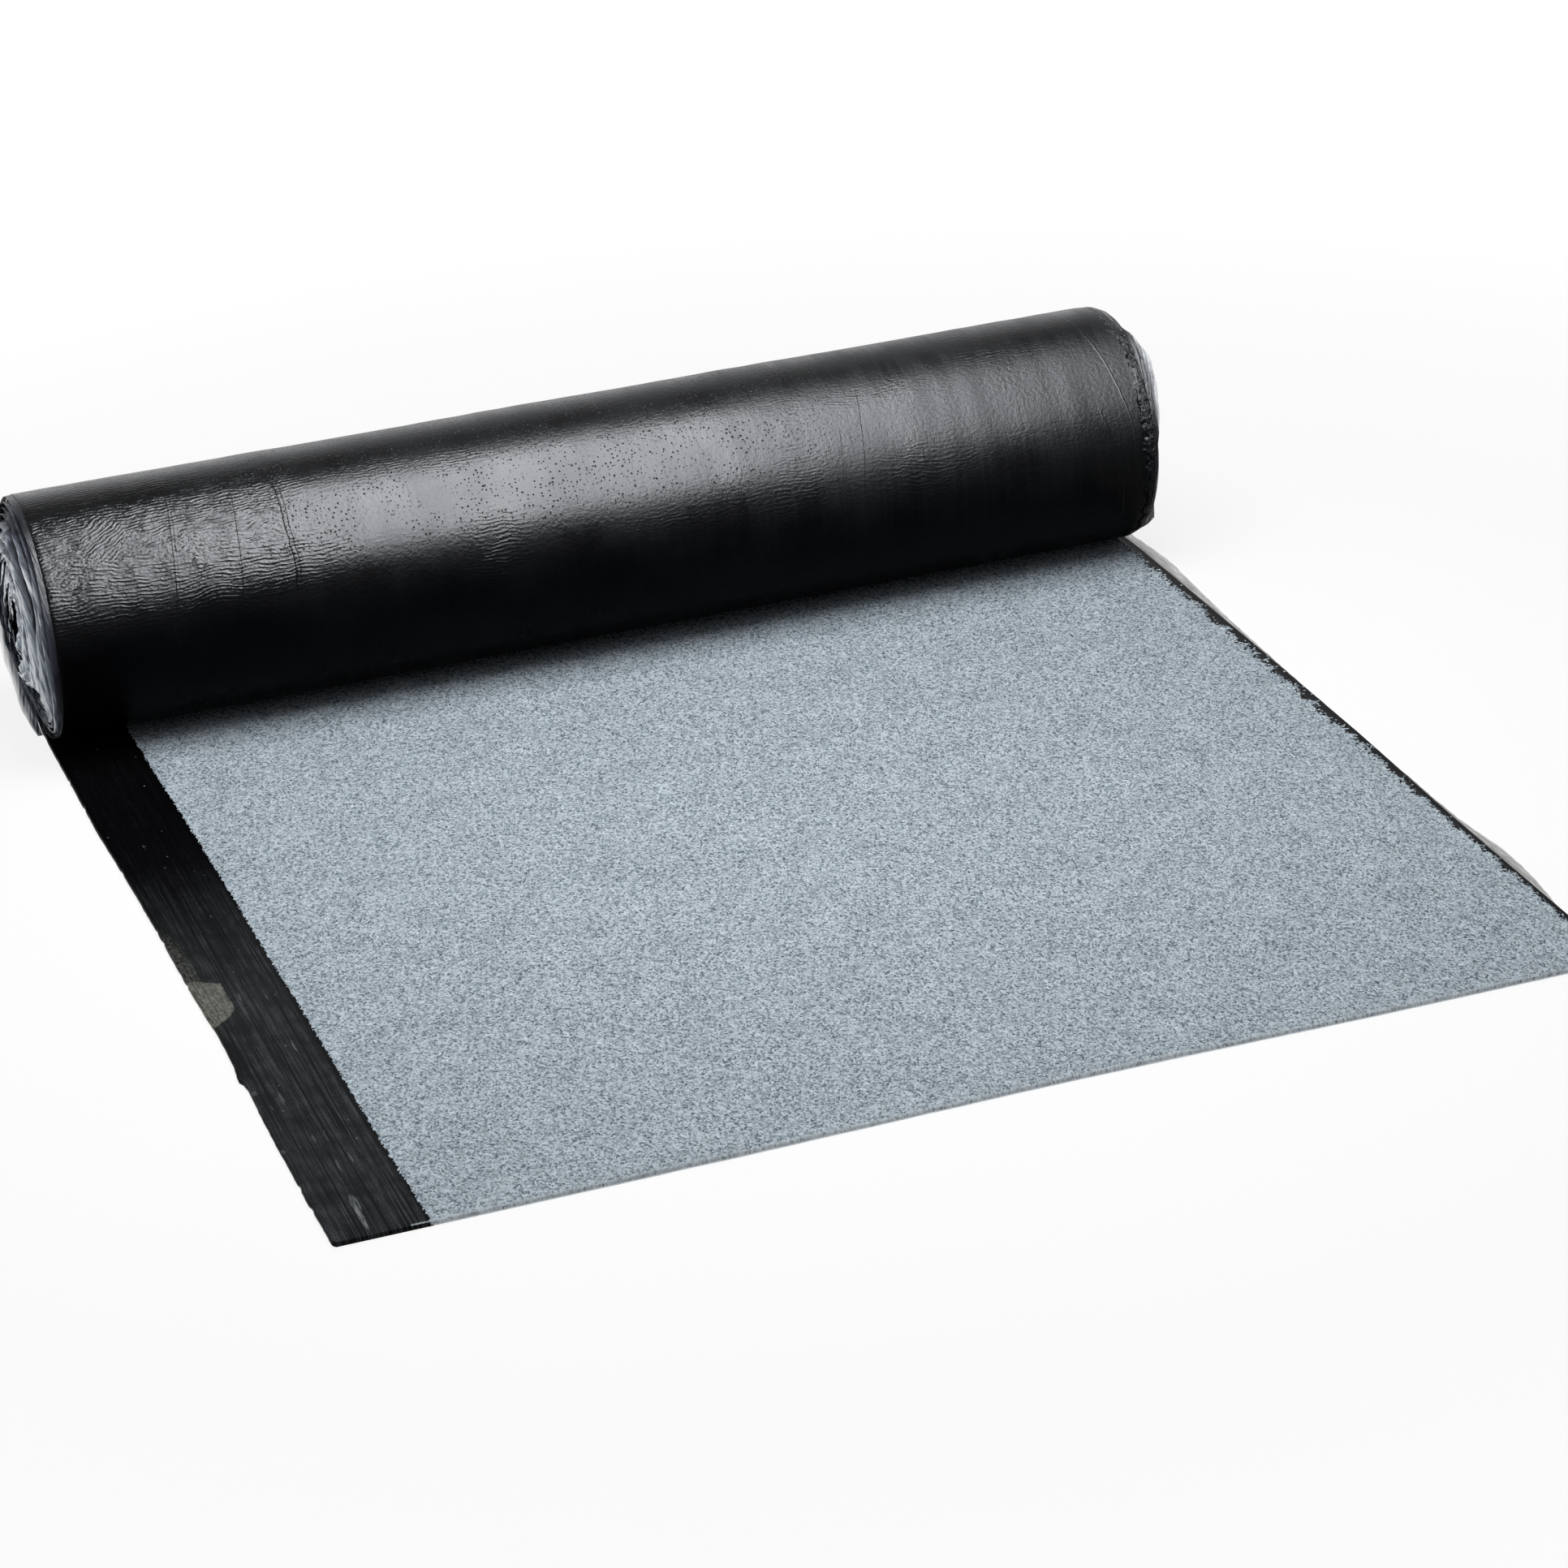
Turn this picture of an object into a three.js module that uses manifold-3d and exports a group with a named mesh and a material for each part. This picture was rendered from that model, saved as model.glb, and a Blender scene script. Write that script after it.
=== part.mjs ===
// A partly unrolled roll of mineral-finished torch-on roofing felt.
//
// The felt is one long strip. Its outer end lies flat on the ground, mineral face up, toward -Y. The
// strip then runs on under the roll, turns up behind it and winds on over the top, so the outside
// of the roll is the strip's film-faced underside. The roll's axis runs along X.
//
// Millimetres, +Z up. The origin is on the ground, at the middle of the object's bounding box.

import * as THREE from 'three';
import { mergeVertices } from 'three/addons/utils/BufferGeometryUtils.js';
import Module from 'manifold-3d';

// ---- driving dimensions -----------------------------------------------------------------------

const sheetWidth = 1000;          // standard width of the strip
const feltThickness = 4.5;        // over the mineral chippings
const windingSlack = 0.2;         // air and film between two turns
const rollRadius = 104.7;         // roll, where it bears on the laid sheet
const boreRadius = 25;            // open centre, at its tightest
const laidLength = 980;           // from the cut end to under the roll's axis

const selvedgeWidth = 75;         // bare side lap along the left edge
const selvedgeDrop = 0.8;         // depth of the chippings that it goes without

const nipGap = 2.1;               // where the gap under the soft roll is thinner, its weight closes it

const seamWidth = 0.7;            // groove that shows where two turns meet on an end
const seamDepth = 2;

const filmGap = 0.3;              // clearance between the film's margins and the felt
const leftFilmBulge = 18;         // how far the gathered film stands out of each end
const rightFilmBulge = 12;
const filmBareTurns = 3.5;        // outer turns that the gathered film leaves in view
const filmEyeClearance = 3;       // the film's opening is this much wider than the bore
const filmRimThickness = 1.5;     // gathered film at its inner and outer rims

const marginFilmThickness = 0.6;  // film margin along the laid sheet's right edge
const marginFilmHeight = 0.6;     // its underside, above the ground
const marginFilmFront = 40;       // where it ends, short of the sheet's cut end
const marginFilmWaist = 2.5;      // its narrowest width
const marginFilmRollFlare = 10;   // what it gains toward the roll
const marginFilmFrontFlare = 5;   // what it gains toward the cut end

const roundSegments = 96;         // facets round the roll and the bore
const seamSegments = 32;          // facets in each turn of the seam
const filmSegments = 36;          // facets round the gathered film
const filmProfileSteps = 6;       // steps across its bulge
const marginSteps = 24;           // steps along the film margin

// ---- worked out from them ---------------------------------------------------------------------

const fullTurn = 2 * Math.PI;
const windingPitch = feltThickness + windingSlack;
const axisHeight = rollRadius + windingPitch;
const turnCount = (rollRadius - boreRadius) / windingPitch;
const nipAngle = Math.sqrt(2 * nipGap / rollRadius);
const halfWidth = sheetWidth / 2;
const overrun = 1;                // how far a cutting tool runs past what it cuts

const wasm = await Module();
wasm.setup();

// ---- helpers ----------------------------------------------------------------------------------

function toSolid(geometry) {
  const bare = geometry.clone();
  bare.deleteAttribute('normal');
  bare.deleteAttribute('uv');
  const merged = mergeVertices(bare);
  return new wasm.Manifold(new wasm.Mesh({
    numProp: 3,
    vertProperties: new Float32Array(merged.attributes.position.array),
    triVerts: new Uint32Array(merged.index.array),
  }));
}

function toGeometry(solid) {
  const mesh = solid.getMesh();
  const geometry = new THREE.BufferGeometry();
  geometry.setAttribute('position', new THREE.BufferAttribute(mesh.vertProperties, mesh.numProp));
  geometry.setIndex(new THREE.BufferAttribute(mesh.triVerts, 1));
  geometry.computeVertexNormals();
  return geometry;
}

// Extrudes a section drawn in the YZ plane along X, from startX on.
function extrudeAlongX(section, startX, length) {
  const geometry = new THREE.ExtrudeGeometry(section, { depth: length, bevelEnabled: false });
  const toYZ = new THREE.Matrix4().makeBasis(
    new THREE.Vector3(0, 1, 0),
    new THREE.Vector3(0, 0, 1),
    new THREE.Vector3(1, 0, 0),
  );
  geometry.applyMatrix4(toYZ);
  geometry.translate(startX, 0, 0);
  return geometry;
}

// The seam between the turns is one spiral. Its angle starts straight below the axis and runs up
// the back, over the top and down the front, turn after turn, closing in by one pitch a turn.
function spiralPoint(angle, offset = 0) {
  const radius = rollRadius + windingPitch * (1 - angle / fullTurn) + offset;
  return new THREE.Vector2(radius * Math.sin(angle), axisHeight - radius * Math.cos(angle));
}

function spiralPoints(startAngle, endAngle, steps, offset = 0) {
  const points = [];
  for (let i = 0; i <= steps; i += 1) {
    points.push(spiralPoint(startAngle + (endAngle - startAngle) * i / steps, offset));
  }
  return points;
}

// ---- the felt: laid sheet and roll in one strip -----------------------------------------------

function feltSection() {
  const rollFace = spiralPoints(0, fullTurn - nipAngle, roundSegments);
  const nip = rollFace[rollFace.length - 1];
  const section = new THREE.Shape([
    new THREE.Vector2(-laidLength, 0),
    ...rollFace,
    new THREE.Vector2(nip.x, feltThickness),
    new THREE.Vector2(-laidLength, feltThickness),
  ]);
  // The bore is the inside of the last turn, with a step where the strip's inner end is cut.
  const innerEnd = turnCount * fullTurn;
  section.holes.push(new THREE.Path(spiralPoints(innerEnd, innerEnd + fullTurn, roundSegments)));
  return section;
}

// The groove that the seam leaves on one end of the roll, as a tool to cut with.
function seamTool(startX, length) {
  const startAngle = fullTurn - nipAngle;
  const endAngle = turnCount * fullTurn;
  const steps = Math.ceil(seamSegments * (endAngle - startAngle) / fullTurn);
  const outerSide = spiralPoints(startAngle, endAngle, steps, seamWidth / 2);
  const innerSide = spiralPoints(startAngle, endAngle, steps, -seamWidth / 2);
  const ribbon = new THREE.Shape([...outerSide, ...innerSide.reverse()]);
  return toSolid(extrudeAlongX(ribbon, startX, length));
}

// The chippings stop at the selvedge, which lies lower than they do.
function selvedgeTool() {
  const nipY = spiralPoint(fullTurn - nipAngle).x;
  const length = laidLength + nipY + overrun;
  const width = selvedgeWidth + overrun;
  const height = selvedgeDrop + overrun;
  const geometry = new THREE.BoxGeometry(width, length, height);
  geometry.translate(
    -halfWidth - overrun + width / 2,
    nipY - length / 2,
    feltThickness - selvedgeDrop + height / 2,
  );
  return toSolid(geometry);
}

function makeFelt() {
  const strip = toSolid(extrudeAlongX(feltSection(), -halfWidth, sheetWidth));
  const cutLength = seamDepth + overrun;
  const felt = strip
    .subtract(seamTool(-halfWidth - overrun, cutLength))
    .subtract(seamTool(halfWidth - seamDepth, cutLength))
    .subtract(selvedgeTool());
  return toGeometry(felt);
}

// ---- the film's free margins ------------------------------------------------------------------

// The film on the strip's underside is wider than the strip. On each end of the roll its margins
// stand out of the turns and gather into a soft ring that is open at the bore and leaves the
// outer turns in view.
function makeEndFilm(bulge) {
  const innerRadius = boreRadius + windingPitch + filmEyeClearance;
  const outerRadius = rollRadius - filmBareTurns * windingPitch;
  const swell = bulge - filmRimThickness;
  const profile = [new THREE.Vector2(innerRadius, 0)];
  profile.push(new THREE.Vector2(outerRadius, 0));
  for (let i = 0; i <= filmProfileSteps; i += 1) {
    const share = 1 - i / filmProfileSteps;
    const radius = innerRadius + (outerRadius - innerRadius) * share;
    const height = filmRimThickness + swell * Math.sin(Math.PI * share);
    profile.push(new THREE.Vector2(radius, height));
  }
  profile.push(new THREE.Vector2(innerRadius, 0));
  return new THREE.LatheGeometry(profile, filmSegments);
}

// Along the laid sheet's right edge the margin lies nearly flat. It is widest beside the roll.
function makeMarginFilm() {
  const innerX = halfWidth + filmGap;
  const startY = -laidLength + marginFilmFront;
  const outline = new THREE.Shape();
  outline.moveTo(innerX, startY);
  for (let i = 0; i <= marginSteps; i += 1) {
    const share = i / marginSteps;
    const flare = marginFilmRollFlare * share ** 4 + marginFilmFrontFlare * (1 - share) ** 6;
    outline.lineTo(innerX + marginFilmWaist + flare, startY * (1 - share));
  }
  outline.lineTo(innerX, 0);
  outline.closePath();
  const geometry = new THREE.ExtrudeGeometry(outline, {
    depth: marginFilmThickness,
    bevelEnabled: false,
  });
  geometry.translate(0, 0, marginFilmHeight);
  return geometry;
}

// ---- assembly ---------------------------------------------------------------------------------

function addMesh(group, name, geometry, material) {
  const mesh = new THREE.Mesh(geometry, new THREE.MeshStandardMaterial(material));
  mesh.name = name;
  group.add(mesh);
  return mesh;
}

const feltLook = { color: 0x1c1d20, roughness: 0.45, metalness: 0 };
const filmLook = { color: 0x9a9ea6, roughness: 0.3, metalness: 0 };

const stock = new THREE.Group();
addMesh(stock, 'felt', makeFelt(), feltLook);

const leftFilm = addMesh(stock, 'end_film_left', makeEndFilm(leftFilmBulge), filmLook);
leftFilm.position.set(-halfWidth - filmGap, 0, axisHeight);
leftFilm.rotation.z = Math.PI / 2;

const rightFilm = addMesh(stock, 'end_film_right', makeEndFilm(rightFilmBulge), filmLook);
rightFilm.position.set(halfWidth + filmGap, 0, axisHeight);
rightFilm.rotation.z = -Math.PI / 2;

addMesh(stock, 'margin_film', makeMarginFilm(), filmLook);

// The origin goes to the middle of the footprint.
stock.updateMatrixWorld(true);
const footprint = new THREE.Box3().setFromObject(stock, true).getCenter(new THREE.Vector3());
stock.position.set(-footprint.x, -footprint.y, 0);

export default stock;
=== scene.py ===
import math

import bpy
import numpy as np
from mathutils import Matrix, Vector, noise


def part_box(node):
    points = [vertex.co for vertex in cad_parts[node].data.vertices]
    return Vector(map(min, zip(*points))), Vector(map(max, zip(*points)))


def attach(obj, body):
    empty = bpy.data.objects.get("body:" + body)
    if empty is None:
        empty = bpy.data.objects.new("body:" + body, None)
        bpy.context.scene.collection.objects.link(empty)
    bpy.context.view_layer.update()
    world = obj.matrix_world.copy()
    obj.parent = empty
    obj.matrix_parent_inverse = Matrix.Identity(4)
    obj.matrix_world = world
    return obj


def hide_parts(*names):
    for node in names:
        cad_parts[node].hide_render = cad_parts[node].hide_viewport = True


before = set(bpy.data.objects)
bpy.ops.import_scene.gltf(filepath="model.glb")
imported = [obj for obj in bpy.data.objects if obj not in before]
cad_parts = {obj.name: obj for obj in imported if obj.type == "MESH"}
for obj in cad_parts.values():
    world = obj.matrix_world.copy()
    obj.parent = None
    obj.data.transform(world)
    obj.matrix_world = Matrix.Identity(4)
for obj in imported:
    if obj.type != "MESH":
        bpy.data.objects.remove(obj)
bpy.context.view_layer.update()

# Everything is drawn on the flat strip first and then wound, as the real one is:
# x runs across the strip, s along it (0 under the roll's axis, minus on the laid part),
# and h is the height over the film face, up to the chippings. All lengths are in metres.

strip = {
    "width": 1.0,
    "thickness": 0.0045,
    "slack": 0.0002,           # between two turns
    "rollRadius": 0.1047,      # where the roll bears on the laid sheet
    "boreRadius": 0.025,
    "laidLength": 0.98,
    "selvedgeDrop": 0.0008,    # the side lap lies this much lower than the chippings
    "lapWidth": 0.058,         # nearer than this to the left edge there are no chippings
    "edgeRounding": 0.0009,
    "edgeReach": 0.012,        # how far in an edge's own line moves the strip
}

feltLow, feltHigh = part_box("felt")
midX = (feltLow.x + feltHigh.x) / 2
axisY = feltLow.y + strip["laidLength"]
pitch = strip["thickness"] + strip["slack"]
axisZ = strip["rollRadius"] + pitch
fullTurn = 2 * math.pi
turnCount = (strip["rollRadius"] - strip["boreRadius"]) / pitch
leftX = midX - strip["width"] / 2
rightX = midX + strip["width"] / 2


def lengthAt(turns):
    # length of strip wound after so many turns
    angle = turns * fullTurn
    return axisZ * angle - pitch * angle ** 2 / (2 * fullTurn)


def angleAt(s):
    # the angle that the strip has turned through after a length s
    fall = pitch / fullTurn
    return (axisZ - np.sqrt(np.maximum(axisZ ** 2 - 2 * fall * s, 0))) / fall


def radiusAt(turns):
    # how far the film face is from the roll's axis after so many turns
    return strip["rollRadius"] + pitch * (1 - turns)


def faceAt(degrees):
    # length of strip at a height round the roll's face: 0 is its front, 90 its top
    return lengthAt((270 - degrees) / 360)


def deselectAll():
    if bpy.context.object and bpy.context.object.mode != "OBJECT":
        bpy.ops.object.mode_set(mode="OBJECT")
    bpy.ops.object.select_all(action="DESELECT")


def makeActive(piece):
    deselectAll()
    piece.select_set(True)
    bpy.context.view_layer.objects.active = piece


def openAll(piece):
    # edit mode, with everything selected
    makeActive(piece)
    bpy.ops.object.mode_set(mode="EDIT")
    bpy.ops.mesh.select_all(action="SELECT")


def readAll(things, field, width, kind=float):
    values = np.empty((len(things), width), kind)
    things.foreach_get(field, values.ravel())
    return values


def getPoints(piece):
    return readAll(piece.data.vertices, "co", 3)


def setPoints(piece, x, y, z):
    piece.data.vertices.foreach_set("co", np.stack([x, y, z], 1).ravel())
    piece.data.update()


def getFaces(piece):
    # the centres and normals of the faces
    faces = piece.data.polygons
    return readAll(faces, "center", 3), readAll(faces, "normal", 3)


def getCorners(piece):
    # the point number of every face corner
    return readAll(piece.data.loops, "vertex_index", 1, np.int32)[:, 0]


mapGap = 0.005    # free room between two parts of a baked map


def addMap(piece, name, uv):
    piece.data.uv_layers.new(name=name).data.foreach_set("uv", np.asarray(uv, np.float32).ravel())


def clearMaps(piece):
    for old in list(piece.data.uv_layers):
        piece.data.uv_layers.remove(old)


def addFlatGrid(name, xRange, sRange, columns, rows):
    # a flat sheet of faces, facing up
    deselectAll()
    middle = ((xRange[0] + xRange[1]) / 2, (sRange[0] + sRange[1]) / 2, 0)
    bpy.ops.mesh.primitive_grid_add(
        x_subdivisions=columns, y_subdivisions=rows, size=1, location=middle)
    piece = bpy.context.active_object
    piece.name = name
    piece.data.name = name
    piece.scale = (xRange[1] - xRange[0], sRange[1] - sRange[0], 1)
    bpy.ops.object.transform_apply(location=True, rotation=True, scale=True)
    return piece


def crowd(piece, axis, stops):
    # slides the grid's even lines so that they crowd as the stops say: (share, place)
    points = getPoints(piece)
    low, high = points[:, axis].min(), points[:, axis].max()
    share = (points[:, axis] - low) / (high - low)
    points[:, axis] = follow(stops, share)
    setPoints(piece, *points.T)


def thicken(piece, thickness):
    # extrudes the whole flat grid up into a closed slab
    openAll(piece)
    bpy.ops.mesh.extrude_region_move(TRANSFORM_OT_translate={"value": (0, 0, thickness)})
    bpy.ops.mesh.select_all(action="SELECT")
    bpy.ops.mesh.normals_make_consistent(inside=False)
    bpy.ops.object.mode_set(mode="OBJECT")


def flipFaces(piece):
    openAll(piece)
    bpy.ops.mesh.flip_normals()
    bpy.ops.object.mode_set(mode="OBJECT")


def bevelLongEdges(piece, segments):
    # rounds the strip's four long edges
    openAll(piece)
    bpy.ops.mesh.select_mode(type="EDGE")
    bpy.ops.mesh.select_all(action="DESELECT")
    bpy.ops.object.mode_set(mode="OBJECT")
    points = getPoints(piece)
    ends = points[readAll(piece.data.edges, "vertices", 2, np.int32)]
    chosen = np.zeros(len(ends), bool)
    for x in (points[:, 0].min(), points[:, 0].max()):
        chosen |= (abs(ends[:, :, 0] - x) < 1e-5).all(1)
    chosen &= abs(ends[:, 0, 1] - ends[:, 1, 1]) > 1e-6
    piece.data.edges.foreach_set("select", chosen)
    bpy.ops.object.mode_set(mode="EDIT")
    bpy.ops.mesh.bevel(offset=strip["edgeRounding"], segments=segments, affect="EDGES")
    bpy.ops.object.mode_set(mode="OBJECT")


def keepMaps(piece, upRoom, downRoom):
    # "strip" holds the flat place in metres, for the patterns; "OFBake" spreads the slab's
    # two faces and its edges over one square, for the baked maps
    clearMaps(piece)
    points = getPoints(piece)
    flat = points[getCorners(piece)]
    sizes = readAll(piece.data.polygons, "loop_total", 1, np.int32)[:, 0]
    normal = np.repeat(getFaces(piece)[1], sizes, 0)
    addMap(piece, "strip", flat[:, :2])
    low, high = points.min(0), points.max(0)
    share = (flat - low) / (high - low)
    up = normal[:, 2] > 0.5
    down = normal[:, 2] < -0.5
    side = ~up & ~down & (abs(normal[:, 0]) > abs(normal[:, 1]))
    room = (1 - upRoom - downRoom) / 3
    edgeRow = np.where(side, np.where(normal[:, 0] < 0, 0, 1), 2)
    v = upRoom + downRoom + (edgeRow + share[:, 2] * 0.7) * room
    v = np.where(up, share[:, 1] * (upRoom - mapGap), v)
    v = np.where(down, upRoom + share[:, 1] * (downRoom - mapGap), v)
    u = np.where(side, share[:, 1], share[:, 0])
    addMap(piece, "OFBake", np.stack([u, v], 1))


def keepFilmMaps(piece, along, away, flat):
    # "strip" as above, and "OFBake" with one row for each whole step along the film
    clearMaps(piece)
    corners = getCorners(piece)
    addMap(piece, "strip", flat[corners])
    row = np.floor(np.repeat(along[corners].reshape(-1, 4).mean(1), 4))
    rows = row.max() + 1
    u = (along[corners] - row) * 0.98 + 0.01
    v = (row + 0.05 + 0.9 * away[corners]) / rows
    addMap(piece, "OFBake", np.stack([u, v], 1))


def keepAttribute(piece, name, values):
    # one number at each point, for the materials
    layer = piece.data.attributes.new(name, "FLOAT", "POINT")
    layer.data.foreach_set("value", np.asarray(values, np.float32))


def giveMaterials(piece, materials, choose):
    # choose(centre, normal) returns the number of each face's material
    for material in materials:
        piece.data.materials.append(material)
    piece.data.polygons.foreach_set("material_index", np.asarray(choose(*getFaces(piece)), np.int32))


def smooth(piece, angle=40):
    makeActive(piece)
    bpy.ops.object.shade_smooth_by_angle(angle=math.radians(angle))


def windPiece(piece, x, s, h):
    # moves flat points (x, s, h) to where they lie on the laid sheet or in the roll
    angle = angleAt(np.maximum(s, 0))
    radius = radiusAt(angle / fullTurn) - h
    y = axisY + np.where(s > 0, radius * np.sin(angle), s)
    setPoints(piece, x, y, np.where(s > 0, axisZ - radius * np.cos(angle), h))
    smooth(piece)
    return piece


def addSlab(name, look, sRange, materials, choose, place=None):
    # a slab of the flat strip: its lines crowd as the look says, or lie where place() puts them
    piece = addFlatGrid(name, (leftX, rightX), sRange, look["columns"], look["rows"])
    for axis, stops in enumerate(look.get("stops", ())):
        crowd(piece, axis, stops)
    if place:
        x, s, h = getPoints(piece).T
        setPoints(piece, x, place(s), h)
    thicken(piece, strip["thickness"])
    bevelLongEdges(piece, look["bevelSteps"])
    keepMaps(piece, *look["mapRooms"])
    giveMaterials(piece, materials, choose)
    return piece


def noiseAt(x, y, z, scale, seed):
    # smooth noise, about -1 to 1, at each point
    shift = Vector((seed * 17.3, seed * 5.1, seed * 9.7))
    return np.array([noise.noise(Vector(point) * scale + shift) for point in zip(x, y, z)])


def noiseOver(x, s, scale, seed):
    return noiseAt(x, s, np.zeros(len(s)), scale, seed)


def noiseAlong(values, *layers):
    # adds up noise along the strip, from layers of (scale, seed, amount)
    flat = np.zeros(len(values))
    return sum(noiseOver(values, flat, scale, seed) * amount for scale, seed, amount in layers)


def softStep(value, low, high):
    share = np.clip((value - low) / (high - low), 0, 1)
    return share * share * (3 - 2 * share)


def hump(value, rise, crest, edge, fall):
    # 0 up to rise, 1 from crest to edge, and 0 from fall on
    return softStep(value, rise, crest) * (1 - softStep(value, edge, fall))


def nearLeft(x):
    # 1 at the strip's left edge, falling to 0 a little way in
    return 1 - softStep(x, leftX, leftX + strip["edgeReach"])


def nearRight(x, reach=strip["edgeReach"]):
    return softStep(x, rightX - reach, rightX)


def follow(stops, value):
    # reads a table of (place, amount) with straight lines between
    return np.interp(value, [stop[0] for stop in stops], [stop[1] for stop in stops])


# short ways to add shader nodes and wire them

def isSocket(value):
    return isinstance(value, bpy.types.NodeSocket)


def feed(node, key, value):
    # key is a socket's name, or i and its number
    socket = node.inputs[int(key[1:])] if key[0] == "i" and key[1:].isdigit() else node.inputs[key]
    if isSocket(value):
        node.id_data.links.new(value, socket)
    else:
        socket.default_value = value


def addNode(kind, settings=None, tree=None, **inputs):
    # with no tree given, the node goes where the sockets that feed it are
    tree = tree or next(value for value in inputs.values() if isSocket(value)).id_data
    node = tree.nodes.new(kind)
    for key, value in (settings or {}).items():
        setattr(node, key, value)
    for key, value in inputs.items():
        feed(node, key.replace("_", " "), value)
    return node


def calc(operation, a, b=0.0, clamp=False):
    return addNode("ShaderNodeMath", {"operation": operation, "use_clamp": clamp}, i0=a, i1=b).outputs[0]


def gather(operation, values):
    # takes a list of values together, two at a time
    total, *others = values
    for value in others:
        total = calc(operation, total, value)
    return total


def times(*values):
    return gather("MULTIPLY", values)


def plus(*values):
    return gather("ADD", values)


def minus(a, b):
    return calc("SUBTRACT", a, b)


def remap(value, low, high, toLow=0.0, toHigh=1.0):
    # turns low..high into toLow..toHigh and clamps
    node = addNode("ShaderNodeMapRange", Value=value, From_Min=low, From_Max=high,
                   To_Min=toLow, To_Max=toHigh)
    return node.outputs["Result"]


def mixColour(share, a, b, mode="MIX"):
    settings = {"data_type": "RGBA", "blend_type": mode}
    return addNode("ShaderNodeMix", settings, i0=share, i6=a, i7=b).outputs[2]


def mixNumber(share, a, b):
    return addNode("ShaderNodeMix", {"data_type": "FLOAT"}, i0=share, i2=a, i3=b).outputs[0]


def toneRamp(value, tones):
    # a colour for each value, from a list of (value, colour)
    ramp = addNode("ShaderNodeValToRGB", Fac=value)
    stops = ramp.color_ramp.elements
    stops[0].position, stops[0].color = tones[0]
    stops[1].position, stops[1].color = tones[-1]
    for share, colour in tones[1:-1]:
        stops.new(share).color = colour
    return ramp.outputs[0]


def stretch(vector, scale):
    return addNode("ShaderNodeMapping", Vector=vector, Scale=scale).outputs["Vector"]


def cloud(vector, scale, detail=2.0, rough=0.5):
    node = addNode("ShaderNodeTexNoise", Vector=vector, Scale=scale, Detail=detail, Roughness=rough)
    return node.outputs["Fac"]


def longCloud(vector, across, along, detail=2.0, rough=0.5):
    # noise with its own scale across the strip and along it
    return cloud(stretch(vector, (across, along, 1.0)), 1.0, detail, rough)


def split(vector):
    return addNode("ShaderNodeSeparateXYZ", Vector=vector).outputs


def splitColour(colour):
    return addNode("ShaderNodeSeparateColor", Color=colour).outputs


def moveBy(vector, shift):
    return addNode("ShaderNodeVectorMath", {"operation": "ADD"}, i0=vector, i1=shift).outputs[0]


def scaleBy(vector, amount):
    return addNode("ShaderNodeVectorMath", {"operation": "SCALE"}, i0=vector, Scale=amount).outputs[0]


def jitter(vector, scale, amount, detail=1.0, rough=0.5):
    # shakes a place with fine noise, so that a pattern's edges wander
    node = addNode("ShaderNodeTexNoise", Vector=vector, Scale=scale, Detail=detail, Roughness=rough)
    return moveBy(vector, scaleBy(node.outputs["Color"], amount))


def finishShader(shader, look, colour, rough, height):
    strength, distance = look["bump"]
    bump = addNode("ShaderNodeBump", Height=height, Strength=strength, Distance=distance)
    feed(shader, "Base Color", colour)
    feed(shader, "Roughness", rough)
    feed(shader, "Normal", bump.outputs["Normal"])
    if "ior" in look:
        shader.inputs["IOR"].default_value = look["ior"]


def newGroup(name, outputs, **numbers):
    # a group that takes a vector and these numbers; an output named Colour is a colour
    group = bpy.data.node_groups.new(name, "ShaderNodeTree")
    group.interface.new_socket(name="Vector", in_out="INPUT", socket_type="NodeSocketVector")
    for title, value in numbers.items():
        socket = group.interface.new_socket(name=title, in_out="INPUT", socket_type="NodeSocketFloat")
        socket.default_value = value
    for title in outputs:
        kind = "NodeSocketColor" if title == "Colour" else "NodeSocketFloat"
        group.interface.new_socket(name=title, in_out="OUTPUT", socket_type=kind)
    return group, addNode("NodeGroupInput", tree=group).outputs, addNode("NodeGroupOutput", tree=group)


def useGroup(group, vector, **inputs):
    return addNode("ShaderNodeGroup", {"node_tree": group}, Vector=vector, **inputs).outputs


def makeMottleGroup():
    group, given, end = newGroup("mottle", ["Value"], Scale=8.0, Low=0.8, High=1.2)
    clouds = cloud(given["Vector"], given["Scale"], 3.0, 0.55)
    feed(end, "Value", remap(clouds, 0.3, 0.7, given["Low"], given["High"]))
    return group


def mottle(vector, scale, low, high):
    # broad cloudy variation, from low to high
    return useGroup(mottleGroup, vector, Scale=scale, Low=low, High=high)[0]


def makeSpeckGroup():
    group, given, end = newGroup("specks", ["Mask"], Scale=300.0, Share=0.1, Size=0.3)
    cells = addNode("ShaderNodeTexVoronoi", {"voronoi_dimensions": "2D"},
                    Vector=given["Vector"], Scale=given["Scale"])
    chance = splitColour(cells.outputs["Color"])
    chosen = calc("LESS_THAN", chance[0], given["Share"])
    size = times(given["Size"], remap(chance[1], 0, 1, 0.5, 1.3))
    feed(end, "Mask", times(chosen, remap(cells.outputs["Distance"], size, 0.0)))
    return group


def specks(vector, scale, share, size):
    # small round specks: 1 in the middle of a speck, 0 between them
    return useGroup(speckGroup, vector, Scale=scale, Share=share, Size=size)[0]


def makeStreakGroup():
    group, given, end = newGroup("streaks", ["Value"], Across=400.0, Along=8.0)
    scale = addNode("ShaderNodeCombineXYZ", X=given["Across"], Y=given["Along"], Z=0.0)
    moved = addNode("ShaderNodeVectorMath", {"operation": "MULTIPLY"},
                    i0=given["Vector"], i1=scale.outputs[0])
    feed(end, "Value", cloud(moved.outputs[0], 1.0, 3.0, 0.6))
    return group


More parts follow.
